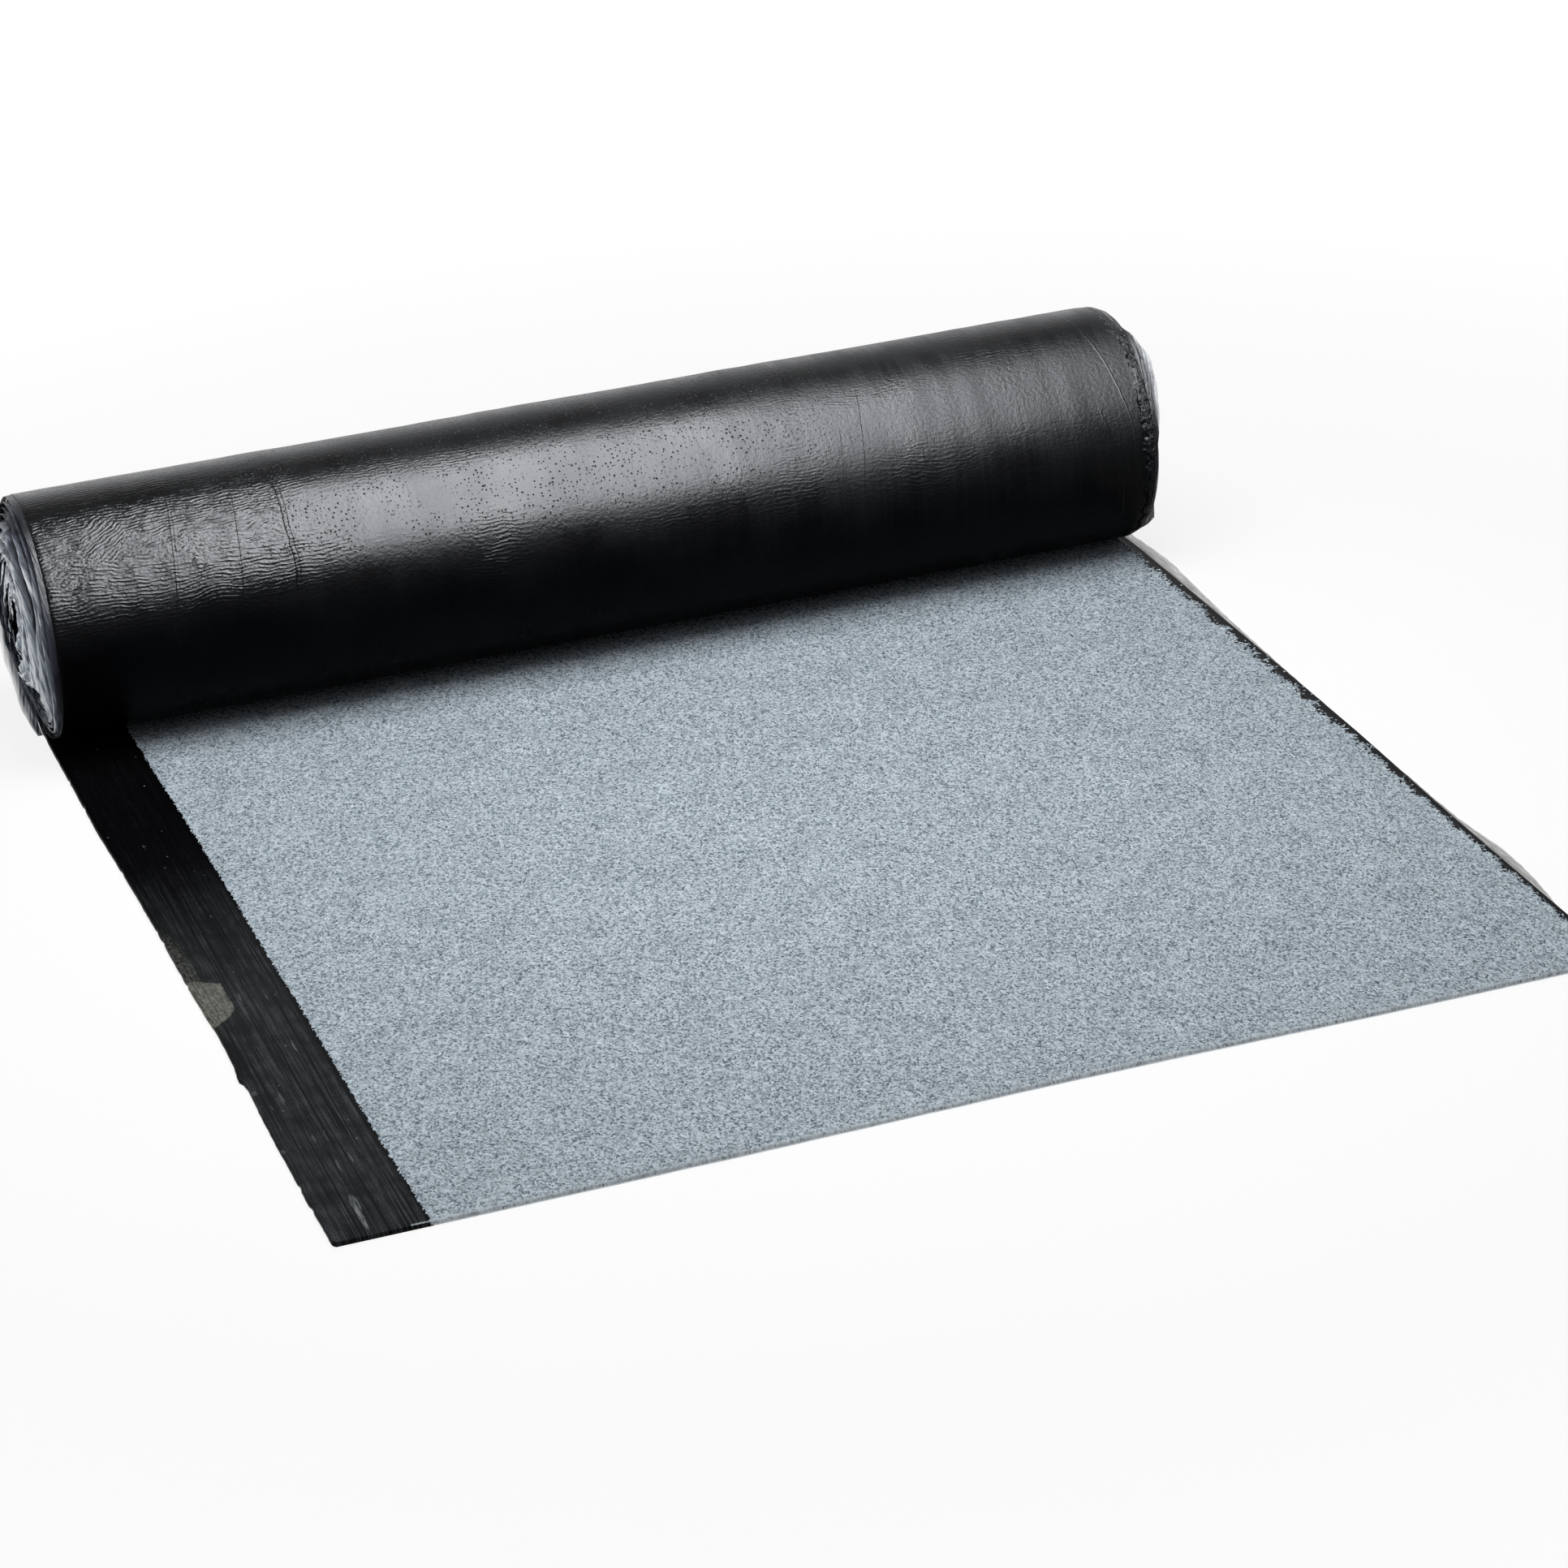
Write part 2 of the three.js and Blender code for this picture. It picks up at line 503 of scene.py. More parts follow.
def streak(vector, across, along):
    # fine streaks along the strip
    return useGroup(streakGroup, vector, Across=across, Along=along)[0]


bitumenLook = {
    "dark": (0.0020, 0.0021, 0.0026, 1),
    # grey of the wear marks, together with painted sheen that stands in for the bright surroundings
    # mirrored in the lap
    "wearAndSheen": (0.060, 0.068, 0.073, 1),
    "pale": (0.34, 0.37, 0.38, 1),
    "scuffed": (0.200, 0.205, 0.175, 1),
    "roughness": (0.20, 0.55),
    "scuffedRoughness": 0.6,
    "wearAndSheenFrom": (-0.32, -0.59),    # where on the strip the streaked wear and painted sheen begin, and are full; nearer the roll the lap is painted dark, a painted reflection of the black roll
    "coarse": (330.0, 7.0),        # streaks a metre across the strip, and along it
    "fine": (1100.0, 26.0),
    "scores": (520.0, 3.5),
    "bump": (0.5, 0.0007),
    "ior": 1.05,
}


def makeBareBitumenGroup():
    # black bitumen with lengthwise drag marks, for the side lap and between the chippings
    look = bitumenLook
    group, given, end = newGroup("bareBitumen", ["Colour", "Roughness", "Height"])
    uv = given["Vector"]
    coarse = streak(uv, *look["coarse"])
    fine = streak(uv, *look["fine"])
    # painted reflection: dark near the roll, which the lap would mirror, with the grey of wear and painted
    # sheen growing further out
    wearAndSheen = remap(split(uv)["Y"], *look["wearAndSheenFrom"], 0.04, 1.0)
    lines = plus(times(remap(coarse, 0.40, 0.60), remap(fine, 0.36, 0.62), 1.1), 0.30)
    # long dark scores
    lines = times(lines, remap(streak(uv, *look["scores"]), 0.53, 0.58, 1.0, 0.12))
    amount = times(lines, mottle(uv, 42.0, 0.30, 1.0), wearAndSheen, mottle(uv, 420.0, 0.55, 1.30))
    feed(end, "Colour", mixColour(amount, look["dark"], look["wearAndSheen"]))
    feed(end, "Roughness", mixNumber(amount, *look["roughness"]))
    grain = cloud(uv, 420.0, 3.0, 0.6)
    feed(end, "Height", plus(times(coarse, 0.9), times(fine, 0.5), times(grain, 0.35)))
    return group


def makeWrinkleGroup():
    # fine wrinkles that run together, wander and break off, as on shrunk film
    group, given, end = newGroup("wrinkles", ["Height"], Scale=92.0, Wander=4.5)
    moved = jitter(given["Vector"], 18.0, 0.016)
    waves = addNode("ShaderNodeTexWave", {"bands_direction": "Y"}, Vector=moved, Scale=given["Scale"],
                    Distortion=given["Wander"], Detail=2.0, Detail_Scale=0.9, Detail_Roughness=0.5)
    patches = longCloud(given["Vector"], 75.0, 150.0)
    short = longCloud(moved, 120.0, 540.0, 2.0, 0.45)
    ridge = times(calc("POWER", waves.outputs["Fac"], 1.3), remap(patches, 0.38, 0.58, 0.20, 1.10))
    feed(end, "Height", plus(ridge, remap(short, 0.36, 0.64, 0.0, 0.40)))
    return group


mottleGroup = makeMottleGroup()
speckGroup = makeSpeckGroup()
streakGroup = makeStreakGroup()
bareBitumenGroup = makeBareBitumenGroup()
wrinkleGroup = makeWrinkleGroup()
print("node groups made")


def newMaterial(name):
    material = bpy.data.materials.new(name)
    material.use_nodes = True
    tree = material.node_tree
    tree.nodes.clear()
    shader = addNode("ShaderNodeBsdfPrincipled", tree=tree)
    addNode("ShaderNodeOutputMaterial", Surface=shader.outputs[0])
    return material, tree, shader


def stripPlace(tree):
    return addNode("ShaderNodeUVMap", {"uv_map": "strip"}, tree).outputs["UV"]


def readAttribute(tree, name):
    return addNode("ShaderNodeAttribute", {"attribute_name": name}, tree).outputs["Fac"]


# where the chippings begin along the strip: (s, distance from the left edge)
borderLine = (
    (-0.98, 0.0722), (-0.90, 0.0710), (-0.73, 0.0700), (-0.50, 0.0683), (-0.32, 0.0673), (-0.09, 0.0640),
    (0.0, 0.0636),
)

chippingLook = {
    "tones": (                 # (share, colour) from the darkest chipping to the palest
        (0.00, (0.100, 0.130, 0.155, 1)),
        (0.18, (0.270, 0.335, 0.388, 1)),
        (0.55, (0.456, 0.527, 0.586, 1)),
        (1.00, (0.675, 0.748, 0.803, 1)),
    ),
    "grainsPerMetre": (765.0, 505.0),  # across the strip, along it
    "mottle": ((170.0, 0.86, 1.13), (24.0, 0.93, 1.06)),   # (scale, darkest, palest), fine and broad
    "roughness": (0.6, 0.95),
    "bump": (0.6, 0.0007),
    "bareAtRight": (0.0032, 0.0105),   # nearly none inside the first, all of them past the second
    "fibresAndPaintedLight": (-0.9768, -0.9780),      # along the strip, where the cut's pale fibres show, painted paler still as painted light on the rounded edge that turns from the lamp
    "ior": 1.05,
}

cutLook = {
    "paleFibresAndLight": (0.80, 0.88, 0.93, 1),      # pale fibres of the reinforcing layer, painted paler as painted light for the dimly lit cut
    "black": (0.60, 0.62, 0.64, 1),    # the bitumen under them, painted pale grey as painted light for the dimly lit cut
    "roughness": (0.6, 0.9),
    "bump": (0.5, 0.0005),
}


def curveAlong(along, stops, most=0.1):
    # reads a table of (s, amount) over the laid part, as follow() does
    length = strip["laidLength"]
    curve = addNode("ShaderNodeFloatCurve", Value=remap(along, -length, 0.0))
    points = curve.mapping.curves[0].points
    for s, amount in stops[1:-1]:
        points.new((s + length) / length, amount / most)
    points[0].location = (0.0, stops[0][1] / most)
    points[len(points) - 1].location = (1.0, stops[-1][1] / most)
    curve.mapping.update()
    return times(curve.outputs[0], most)


def chippingCover(place, cells):
    # 1 where a chipping is stuck and 0 where bare bitumen shows; and how far in from the side lap
    across, along = chippingLook["grainsPerMetre"]
    stuck = stretch(cells.outputs["Position"], (1 / across, 1 / along, 1.0))
    middle = addNode("ShaderNodeMix", {"data_type": "VECTOR"}, i0=0.6, i4=stuck, i5=place)
    middle = split(middle.outputs[1])
    chance = splitColour(cells.outputs["Color"])[2]
    inLeft = minus(minus(middle["X"], leftX), curveAlong(middle["Y"], borderLine))
    left = remap(inLeft, -0.0008, 0.0010)
    ragged = remap(cloud(stuck, 55.0, 3.0, 0.6), 0.35, 0.70, -0.003, 0.006)
    fromRight = minus(minus(rightX, middle["X"]), ragged)
    right = remap(fromRight, *chippingLook["bareAtRight"], 0.05, 1.0)
    return calc("LESS_THAN", chance, times(left, calc("POWER", right, 1.6))), inLeft


def makeChippingMaterial():
    look = chippingLook
    material, tree, shader = newMaterial("mineralChippings")
    place = stripPlace(tree)
    cells = addNode("ShaderNodeTexVoronoi", {"voronoi_dimensions": "2D"},
                    Vector=stretch(place, (*look["grainsPerMetre"], 1.0)), Scale=1.0)
    tone = splitColour(cells.outputs["Color"])
    shade = times(*(mottle(place, *layer) for layer in look["mottle"]))
    grey = addNode("ShaderNodeCombineColor", Red=shade, Green=shade, Blue=shade).outputs[0]
    stone = mixColour(1.0, toneRamp(tone[0], look["tones"]), grey, "MULTIPLY")
    cover, inLeft = chippingCover(place, cells)
    bare = useGroup(bareBitumenGroup, place)
    # painted shade of the chippings' step: bare bitumen is darkened a little between chippings and fully
    # out on the lap past the border line
    dark = mixColour(remap(inLeft, -0.0045, -0.0010, 1.0, 0.15), bitumenLook["dark"], bare["Colour"])
    # pale fibres at the cut's rounded edge, and painted light that lifts that edge where it faces away
    # from the lamp
    fibresAndPaintedLight = remap(split(place)["Y"], *look["fibresAndPaintedLight"])
    fibresAndPaintedLight = times(fibresAndPaintedLight, remap(cloud(place, 650.0), 0.38, 0.62, 0.15, 0.75))
    colour = mixColour(fibresAndPaintedLight, mixColour(cover, dark, stone), cutLook["paleFibresAndLight"])
    rough = mixNumber(cover, bare["Roughness"], remap(tone[1], 0, 1, *look["roughness"]))
    # each chipping is domed, and some stand higher than others
    dome = remap(cells.outputs["Distance"], 0.0, 0.75, 1.0, 0.0)
    finishShader(shader, look, colour, rough, times(plus(dome, times(tone[1], 0.7)), cover))
    return material


scuffs = {
    # along the side lap: (x from the left edge, s, half width, half length, how pale)
    "marks": (
        (0.0290, -0.950, 0.0022, 0.024, 1.00),
        (0.0300, -0.932, 0.0036, 0.016, 0.60),
        (0.0495, -0.678, 0.0009, 0.012, 0.60),
        (0.0335, -0.872, 0.0009, 0.013, 0.50),
        (0.0446, -0.864, 0.0008, 0.010, 0.45),
        (0.0597, -0.540, 0.0009, 0.015, 0.50),
        (0.0312, -0.582, 0.0009, 0.012, 0.50),
        (0.0502, -0.588, 0.0008, 0.008, 0.45),
        (0.0206, -0.755, 0.0020, 0.013, 0.30),
        (0.0276, -0.825, 0.0012, 0.008, 0.30),
        (0.0025, -0.738, 0.0040, 0.004, 0.30),
        (0.0020, -0.835, 0.0030, 0.004, 0.25),
        (0.0560, -0.838, 0.0010, 0.002, 0.60),
        (0.0090, -0.522, 0.0010, 0.002, 0.60),
        (0.0240, -0.2733, 0.0012, 0.003, 0.50),
        (0.0646, -0.2764, 0.0012, 0.003, 0.50),
    ),
    # corners of the pale patch beside the edge: (x from the left edge, s)
    "patch": ((-0.002, -0.531), (0.0240, -0.549), (0.0242, -0.597), (0.0140, -0.613), (-0.002, -0.624)),
    "patchBlur": 0.0015,
    # a faint smear past the patch, and the dark torn place below it: (x, s, half width, half length)
    "smear": (0.0, -0.515, 0.012, 0.085),
    "torn": (0.002, -0.675, 0.010, 0.048),
    "tornDark": 0.8,
    "dust": (150.0, 0.022, 0.11),      # scale, share and size of the dust specks
    "wander": 0.006,                   # how far the patch's edges wander
    "markWander": 0.25,                # the marks' edges wander by this much of it
}


def ellipseMask(place, x, s, halfWidth, halfLength):
    overX = calc("DIVIDE", minus(place["X"], x), halfWidth)
    overS = calc("DIVIDE", minus(place["Y"], s), halfLength)
    return remap(plus(times(overX, overX), times(overS, overS)), 1.0, 0.3)


def lapMask(place, mark):
    # the same, measured from the strip's left edge
    return ellipseMask(place, leftX + mark[0], *mark[1:4])


def insideMask(place, corners, blur):
    # 1 inside a straight-sided shape whose corners run clockwise from above
    depths = []
    for (x0, s0), (x1, s1) in zip(corners, corners[1:] + corners[:1]):
        length = math.hypot(x1 - x0, s1 - s0)
        nx, ns = (s1 - s0) / length, -(x1 - x0) / length
        depth = plus(times(place["X"], nx), times(place["Y"], ns))
        depths.append(minus(depth, nx * x0 + ns * s0))
    return remap(gather("MINIMUM", depths), 0.0, blur)


def makeLapMaterial():
    # the bare side lap and the strip's edges
    look = bitumenLook
    material, tree, shader = newMaterial("sideLap")
    uv = stripPlace(tree)
    bare = useGroup(bareBitumenGroup, uv)
    wander = scuffs["wander"]
    share = scuffs["markWander"]
    shaken = moveBy(jitter(uv, 110.0, wander, 6.0, 0.65), (-wander / 2, -wander / 2, 0.0))
    ragged = split(shaken)
    slightly = split(moveBy(scaleBy(shaken, share), scaleBy(uv, 1 - share)))
    patch = insideMask(ragged, [(leftX + x, s) for x, s in scuffs["patch"]], scuffs["patchBlur"])
    ribs = streak(uv, 700.0, 60.0)
    crumbs = cloud(uv, 300.0, 4.0, 0.6)
    patch = times(patch, remap(ribs, 0.38, 0.60, 0.30, 1.15))
    patch = calc("MULTIPLY", patch, remap(crumbs, 0.36, 0.62, 0.45, 1.15), True)
    smear = times(lapMask(ragged, scuffs["smear"]), remap(crumbs, 0.42, 0.66, 0.02, 0.45))
    patch = calc("MAXIMUM", patch, smear)
    colour = mixColour(patch, bare["Colour"], look["scuffed"])
    torn = times(lapMask(ragged, scuffs["torn"]), scuffs["tornDark"])
    colour = mixColour(torn, colour, look["dark"])
    pale = gather("MAXIMUM", [times(lapMask(slightly, mark), mark[4]) for mark in scuffs["marks"]])
    pale = times(pale, remap(streak(uv, 1500.0, 50.0), 0.44, 0.60, 0.05, 1.0))
    pale = calc("MAXIMUM", pale, times(specks(uv, *scuffs["dust"]), 0.8))
    rough = mixNumber(calc("MAXIMUM", patch, pale), bare["Roughness"], look["scuffedRoughness"])
    height = plus(bare["Height"], times(patch, 0.6))
    finishShader(shader, look, mixColour(pale, colour, look["pale"]), rough, height)
    return material


def makeCutMaterial():
    # the cut across the strip: bitumen with the reinforcing fibres in it, both painted pale as painted
    # light for its dim front
    look = cutLook
    material, tree, shader = newMaterial("cutEnd")
    place = addNode("ShaderNodeTexCoord", tree=tree).outputs["Object"]
    fibres = cloud(stretch(place, (900.0, 900.0, 1800.0)), 1.0, 3.0, 0.6)
    colour = mixColour(remap(fibres, 0.32, 0.50), look["black"], look["paleFibresAndLight"])
    finishShader(shader, look, colour, remap(fibres, 0.3, 0.6, *look["roughness"]), fibres)
    return material


filmLook = {
    "colour": (0.0004, 0.0006, 0.0010, 1),
    "dusty": (0.0012, 0.0016, 0.0022, 1),
    "lint": (0.5, 0.5, 0.5, 1),
    "roughness": (0.23, 0.34),
    "ior": 1.115,
    "bump": (1.0, 0.00042),
    "wrinkles": (92.0, 6.0),       # scale, and how far they wander
    "askewPatch": (midX - 0.443, faceAt(54), 0.020, 0.028),
    "askewTurn": 0.70,
    "pinholes": (240.0, 0.66, 0.19),   # scale, share and size
    "holedPatch": (midX - 0.07, (0.32, 0.19), (faceAt(18), faceAt(24))),   # middle x, fades across, along
    # from x to x, and what the roughness and the brushing are multiplied by there
    "glossyLeft": (midX - 0.34, midX - 0.18, 0.80, 1.0),
    "brushedRight": (midX, midX + 0.18, 0.30, 1.0),
    "lintSpecks": (38.0, 0.008, 0.035),
    "combed": (300.0, 7.0),        # streaks a metre across the strip, and along it
    "banded": (42.0, 3.0),
    "rim": (0.0105, 0.0055),       # crumpled from the first distance to the right rim, fully at the second
    "rimRoughness": 0.38,
    # how deep each layer of relief is
    "depths": {
        "wrinkles": 0.78, "creases": 0.7, "pinholes": -1.3, "rim": 8.5, "grain": 0.88, "combing": 0.14,
    },
    # creases round the roll: (x, at degrees, slant, from, to degrees, wander, width, depth)
    "creases": (
        (-0.3825, 62, -0.125, 112, 8, 0.0016, 0.0008, 0.50),
        (-0.3795, 62, -0.125, 90, 20, 0.0022, 0.0007, 0.25),
        (-0.3290, 50, -0.105, 80, 8, 0.0020, 0.0007, 0.40),
        (-0.3360, 92, -0.060, 104, 80, 0.0050, 0.0009, 0.50),
        (-0.2885, 40, 0.0, 70, 10, 0.0090, 0.0010, 0.70),
        (-0.2845, 40, 0.0, 68, 8, 0.0090, 0.0010, 0.50),
        (0.2265, 27, -0.155, 64, -4, 0.0020, 0.0007, 0.45),
        (0.2070, 30, -0.155, 44, 14, 0.0020, 0.0006, 0.4),
        (0.4700, 47, 0.19, 112, 12, 0.0030, 0.0011, 0.6),
        (0.4545, 20, 0.27, 30, 8, 0.0010, 0.0010, 0.6),
        (0.4670, -15, 0.11, 2, -40, 0.0010, 0.0008, 0.6),
    ),
    # patches of wrinkles: (x, degrees, half width, half height in degrees, strength)
    "wrinkled": (
        (-0.112, 20, 0.022, 26, 0.55),
        (-0.135, 61, 0.030, 8, 0.50),
        (-0.200, 66, 0.050, 7, 0.35),
        (0.165, 38, 0.022, 30, 0.45),
        (0.150, 14, 0.040, 9, 0.35),
        (0.060, 14, 0.050, 7, 0.25),
        (0.272, 17, 0.048, 12, 0.42),
        (0.245, 56, 0.060, 9, 0.38),
        (0.370, 72, 0.050, 8, 0.45),
        (0.300, 40, 0.040, 20, 0.28),
    ),
}


def wrinkleAmount(x, s):
    # how wrinkled the film is at each point: all over the left end, in patches elsewhere
    across = x - midX
    ripple = noiseOver(across, s, 24.0, 41)
    amount = 0.07 + 0.93 * (1 - softStep(across + 0.035 * ripple, -0.315, -0.225))
    shifted = s + 0.004 * ripple
    amount = amount * (1 - 0.9 * softStep(shifted, faceAt(18), faceAt(6)))
    amount = amount * (0.35 + 0.65 * softStep(shifted, faceAt(75), faceAt(62)))
    amount = amount * (1 - 0.60 * softStep(shifted, faceAt(32), faceAt(20)))
    for patchX, degrees, halfWidth, halfHeight, strength in filmLook["wrinkled"]:
        halfLength = math.radians(halfHeight) * strip["rollRadius"]
        reach = ((across - patchX) / halfWidth) ** 2 + ((s - faceAt(degrees)) / halfLength) ** 2
        amount = np.maximum(amount, strength * np.exp(-reach * (1 + 0.5 * ripple)))
    return amount


def creaseHeight(uv, place):
    # long fine creases round the roll
    wander = minus(longCloud(uv, 0.0, 34.0, 3.0, 0.6), 0.5)
    ridges = []
    for x, degrees, slant, start, end, wobble, width, depth in filmLook["creases"]:
        along = minus(place["Y"], faceAt(degrees))
        line = plus(times(along, slant), times(wander, wobble))
        offset = minus(minus(place["X"], midX + x), line)
        ridge = times(remap(calc("ABSOLUTE", offset), width, 0.0), depth)
        begun = remap(place["Y"], faceAt(start), faceAt(start) + 0.01)
        ended = remap(place["Y"], faceAt(end), faceAt(end) - 0.01)
        ridges.append(times(ridge, times(begun, ended)))
    return gather("MAXIMUM", ridges)


def makeFilmMaterial():
    # black film on the strip's underside, the outside of the roll
    look = filmLook
    material, tree, shader = newMaterial("blackFilm")
    uv = stripPlace(tree)
    place = split(uv)
    # pinholes over the middle of the upper front
    holes = specks(jitter(uv, 420.0, 0.0022), *look["pinholes"])
    middle, across, along = look["holedPatch"]
    fromMiddle = calc("ABSOLUTE", minus(place["X"], middle))
    holes = times(holes, remap(cloud(uv, 22.0), 0.39, 0.51), remap(fromMiddle, *across),
                  remap(place["Y"], *along))
    clouds = mottle(uv, 16.0, 0.0, 1.0)
    lint = times(specks(uv, *look["lintSpecks"]), 0.6)
    colour = mixColour(lint, mixColour(clouds, look["colour"], look["dusty"]), look["lint"])
    # the wrinkled left is glossier, and the right half is brushed more than the left
    rough = times(mixNumber(clouds, *look["roughness"]), remap(place["X"], *look["glossyLeft"]))
    combed = streak(uv, *look["combed"])
    banded = streak(uv, *look["banded"])
    combing = plus(remap(combed, 0.35, 0.75, 0.0, 0.08), remap(banded, 0.35, 0.70, 0.0, 0.07))
    brushed = remap(place["X"], *look["brushedRight"])
    rough = calc("ADD", plus(rough, times(combing, brushed)), times(holes, 0.8), True)
    # it is crumpled over the right rim
    crumple = longCloud(uv, 260.0, 150.0, 3.0, 0.6)
    ragged = remap(cloud(uv, 60.0), 0.35, 0.65, -0.003, 0.004)
    atRim = remap(minus(minus(rightX, place["X"]), ragged), *look["rim"])
    rough = mixNumber(atRim, rough, look["rimRoughness"])
    # beside the left end some of the wrinkles lie askew
    scale, wander = look["wrinkles"]
    turned = addNode("ShaderNodeVectorRotate", {"rotation_type": "Z_AXIS"}, Vector=uv,
                     Angle=look["askewTurn"]).outputs[0]
    straight, askew = (
        useGroup(wrinkleGroup, way, Scale=scale, Wander=wander)[0] for way in (uv, turned))
    wrinkle = mixNumber(ellipseMask(place, *look["askewPatch"]), straight, askew)
    layers = {
        "wrinkles": times(wrinkle, readAttribute(tree, "wrinkle")),
        "creases": creaseHeight(uv, place),
        "pinholes": holes,
        "rim": times(crumple, atRim),
        "grain": cloud(uv, 240.0, 3.0, 0.7),
        "combing": times(combed, brushed),
    }
    height = plus(*(times(layers[name], depth) for name, depth in look["depths"].items()))
    finishShader(shader, look, colour, rough, height)
    return material


endFilmLook = {
    "tones": (                 # (milkiness, colour) from clear over black to silvery white
        (0.00, (0.005, 0.005, 0.008, 1)),
        (0.30, (0.078, 0.086, 0.116, 1)),
        (0.60, (0.290, 0.330, 0.385, 1)),
        (0.80, (0.680, 0.735, 0.780, 1)),
        (1.00, (0.920, 0.955, 0.980, 1)),
    ),
    "streaks": (620.0, 14.0),
    "flecks": (0.66, 1.34),
    "alpha": (0.10, 1.0),
    "roughness": (0.26, 0.44),
    "bump": (0.8, 0.0012),
    "ior": 1.15,
}

edgeFilmLook = {
    "tones": (
        (0.00, (0.030, 0.028, 0.026, 1)),
        (0.40, (0.160, 0.152, 0.142, 1)),
        (0.70, (0.330, 0.320, 0.305, 1)),
        (1.00, (0.600, 0.595, 0.580, 1)),
    ),
    "streaks": (500.0, 30.0),
    "flecks": (0.60, 1.25),
    "alpha": (0.15, 0.95),
    "roughness": (0.30, 0.45),
    "bump": (0.8, 0.0012),
    "ior": 1.16,
}


def makeLooseFilmMaterial(name, look):
    # thin film standing free of the felt: the points say how milky it is and how much it covers
    material, tree, shader = newMaterial(name)
    place = stripPlace(tree)
    streaks = streak(place, *look["streaks"])
    flecks = longCloud(place, 260.0, 24.0, 4.0, 0.62)
    tone = times(readAttribute(tree, "milk"), remap(streaks, 0.36, 0.62, 0.75, 1.15))
    tone = calc("MULTIPLY", tone, remap(flecks, 0.38, 0.60, *look["flecks"]), True)
    cover = calc("ADD", readAttribute(tree, "cover"), remap(streaks, 0.40, 0.64, 0.08, -0.16), True)
    feed(shader, "Alpha", remap(cover, 0, 1, *look["alpha"]))
    rough = remap(mottle(place, 70.0, 0.0, 1.0), 0, 1, *look["roughness"])
    finishShader(shader, look, toneRamp(tone, look["tones"]), rough, plus(streaks, times(flecks, 1.4)))
    return material


chippings = makeChippingMaterial()
sideLap = makeLapMaterial()
blackFilm = makeFilmMaterial()
cutEnd = makeCutMaterial()
endFilmClear = makeLooseFilmMaterial("endFilmClear", endFilmLook)
edgeFilmClear = makeLooseFilmMaterial("edgeFilmClear", edgeFilmLook)
print("materials made")


laidSheet = {
    "columns": 170,
    "rows": 240,
    # where lines crowd, across the strip and along it: (share of the lines, place)
    "stops": (
        ((0.0, leftX), (0.06, leftX + 0.006), (0.16, leftX + 0.057), (0.36, leftX + 0.079),
         (0.92, rightX - 0.014), (1.0, rightX)),
        ((0.0, -0.980), (0.06, -0.974), (0.12, -0.960), (0.34, -0.735), (0.48, -0.690), (1.0, 0.0)),
    ),
    "bevelSteps": 3,
    "mapRooms": (0.84, 0.10),  # shares of the baked map for the upper and the lower face
    "waves": (6.0, 0.0006),    # noise scale and height
    "wavesFrom": (0.06, 0.2),  # how far from the roll they begin, and are full
    "lapStep": (0.0008, 0.0006),    # how far outside the border line its middle is, and half its width
    "rightStep": (0.0085, 0.0050, 0.5),    # from and to, in from the right edge, and its share of the drop
    "mineralEnd": 0.001,       # no chippings nearer than this to the right edge
    "matEnds": (0.074, 0.004),     # how far from the left and right edges the cut shows the pale fibres and painted light
    "cutHeight": 0.0010,       # left upright under the cut's rounded top edge
    "cutRounding": 0.0045,
    "cutReach": 0.06,          # how far in the cut's own line moves the strip
    "cornerRadius": 0.007,
    # raggedness: (noise scale, seed, metres)
    "borderNoise": ((420.0, 1, 0.0006), (60.0, 2, 0.0005)),
    "edgeNoise": ((45.0, 8, 0.0003), (190.0, 9, 0.0003)),
    "cutNoise": (30.0, 4, 0.0005),
    "nicks": (85.0, 10, 1.0),
    "nickDepth": 0.0009,
    # how far the edges stand out of the nominal strip: (s, metres)
    "leftEdge": (
        (-0.980, -0.0012), (-0.955, -0.0010), (-0.913, -0.0002), (-0.842, -0.0004), (-0.774, -0.0008),
        (-0.728, -0.0020), (-0.722, -0.0016), (-0.716, -0.0008), (-0.711, 0.0012), (-0.704, 0.0010),
        (-0.690, -0.0006), (-0.655, -0.0018), (-0.621, -0.0016), (-0.590, -0.0002), (-0.533, 0.0006),
        (-0.460, 0.0008), (-0.344, 0.0020), (-0.235, 0.0048), (-0.060, 0.0052), (0.0, 0.0050),
    ),
    "rightEdge": (
        (-0.980, -0.0038), (-0.850, -0.0036), (-0.710, -0.0026), (-0.516, 0.0012), (-0.322, 0.0020),
        (-0.060, 0.0016), (0.0, 0.0),
    ),
    # how far the cut steps back across the strip: (x, metres)
    "cut": (
        (-0.50, -0.0012), (-0.33, -0.0002), (-0.20, 0.0006), (0.04, 0.0036), (0.17, 0.0024),
        (0.30, 0.0), (0.43, -0.0012), (0.50, -0.0012),
    ),
}


def chooseLaidMaterial(centre, normal):
    x = centre[:, 0]
    mineralEnd = rightX - laidSheet["mineralEnd"]
    matLeft, matRight = laidSheet["matEnds"]
    onTop = (normal[:, 2] > 0.5) & (x > leftX + strip["lapWidth"]) & (x < mineralEnd)
    below = normal[:, 2] < -0.5
    cut = (normal[:, 1] < -0.5) & (x > leftX + matLeft) & (x < rightX - matRight)
    return np.where(onTop, 0, np.where(below, 2, np.where(cut, 3, 1)))


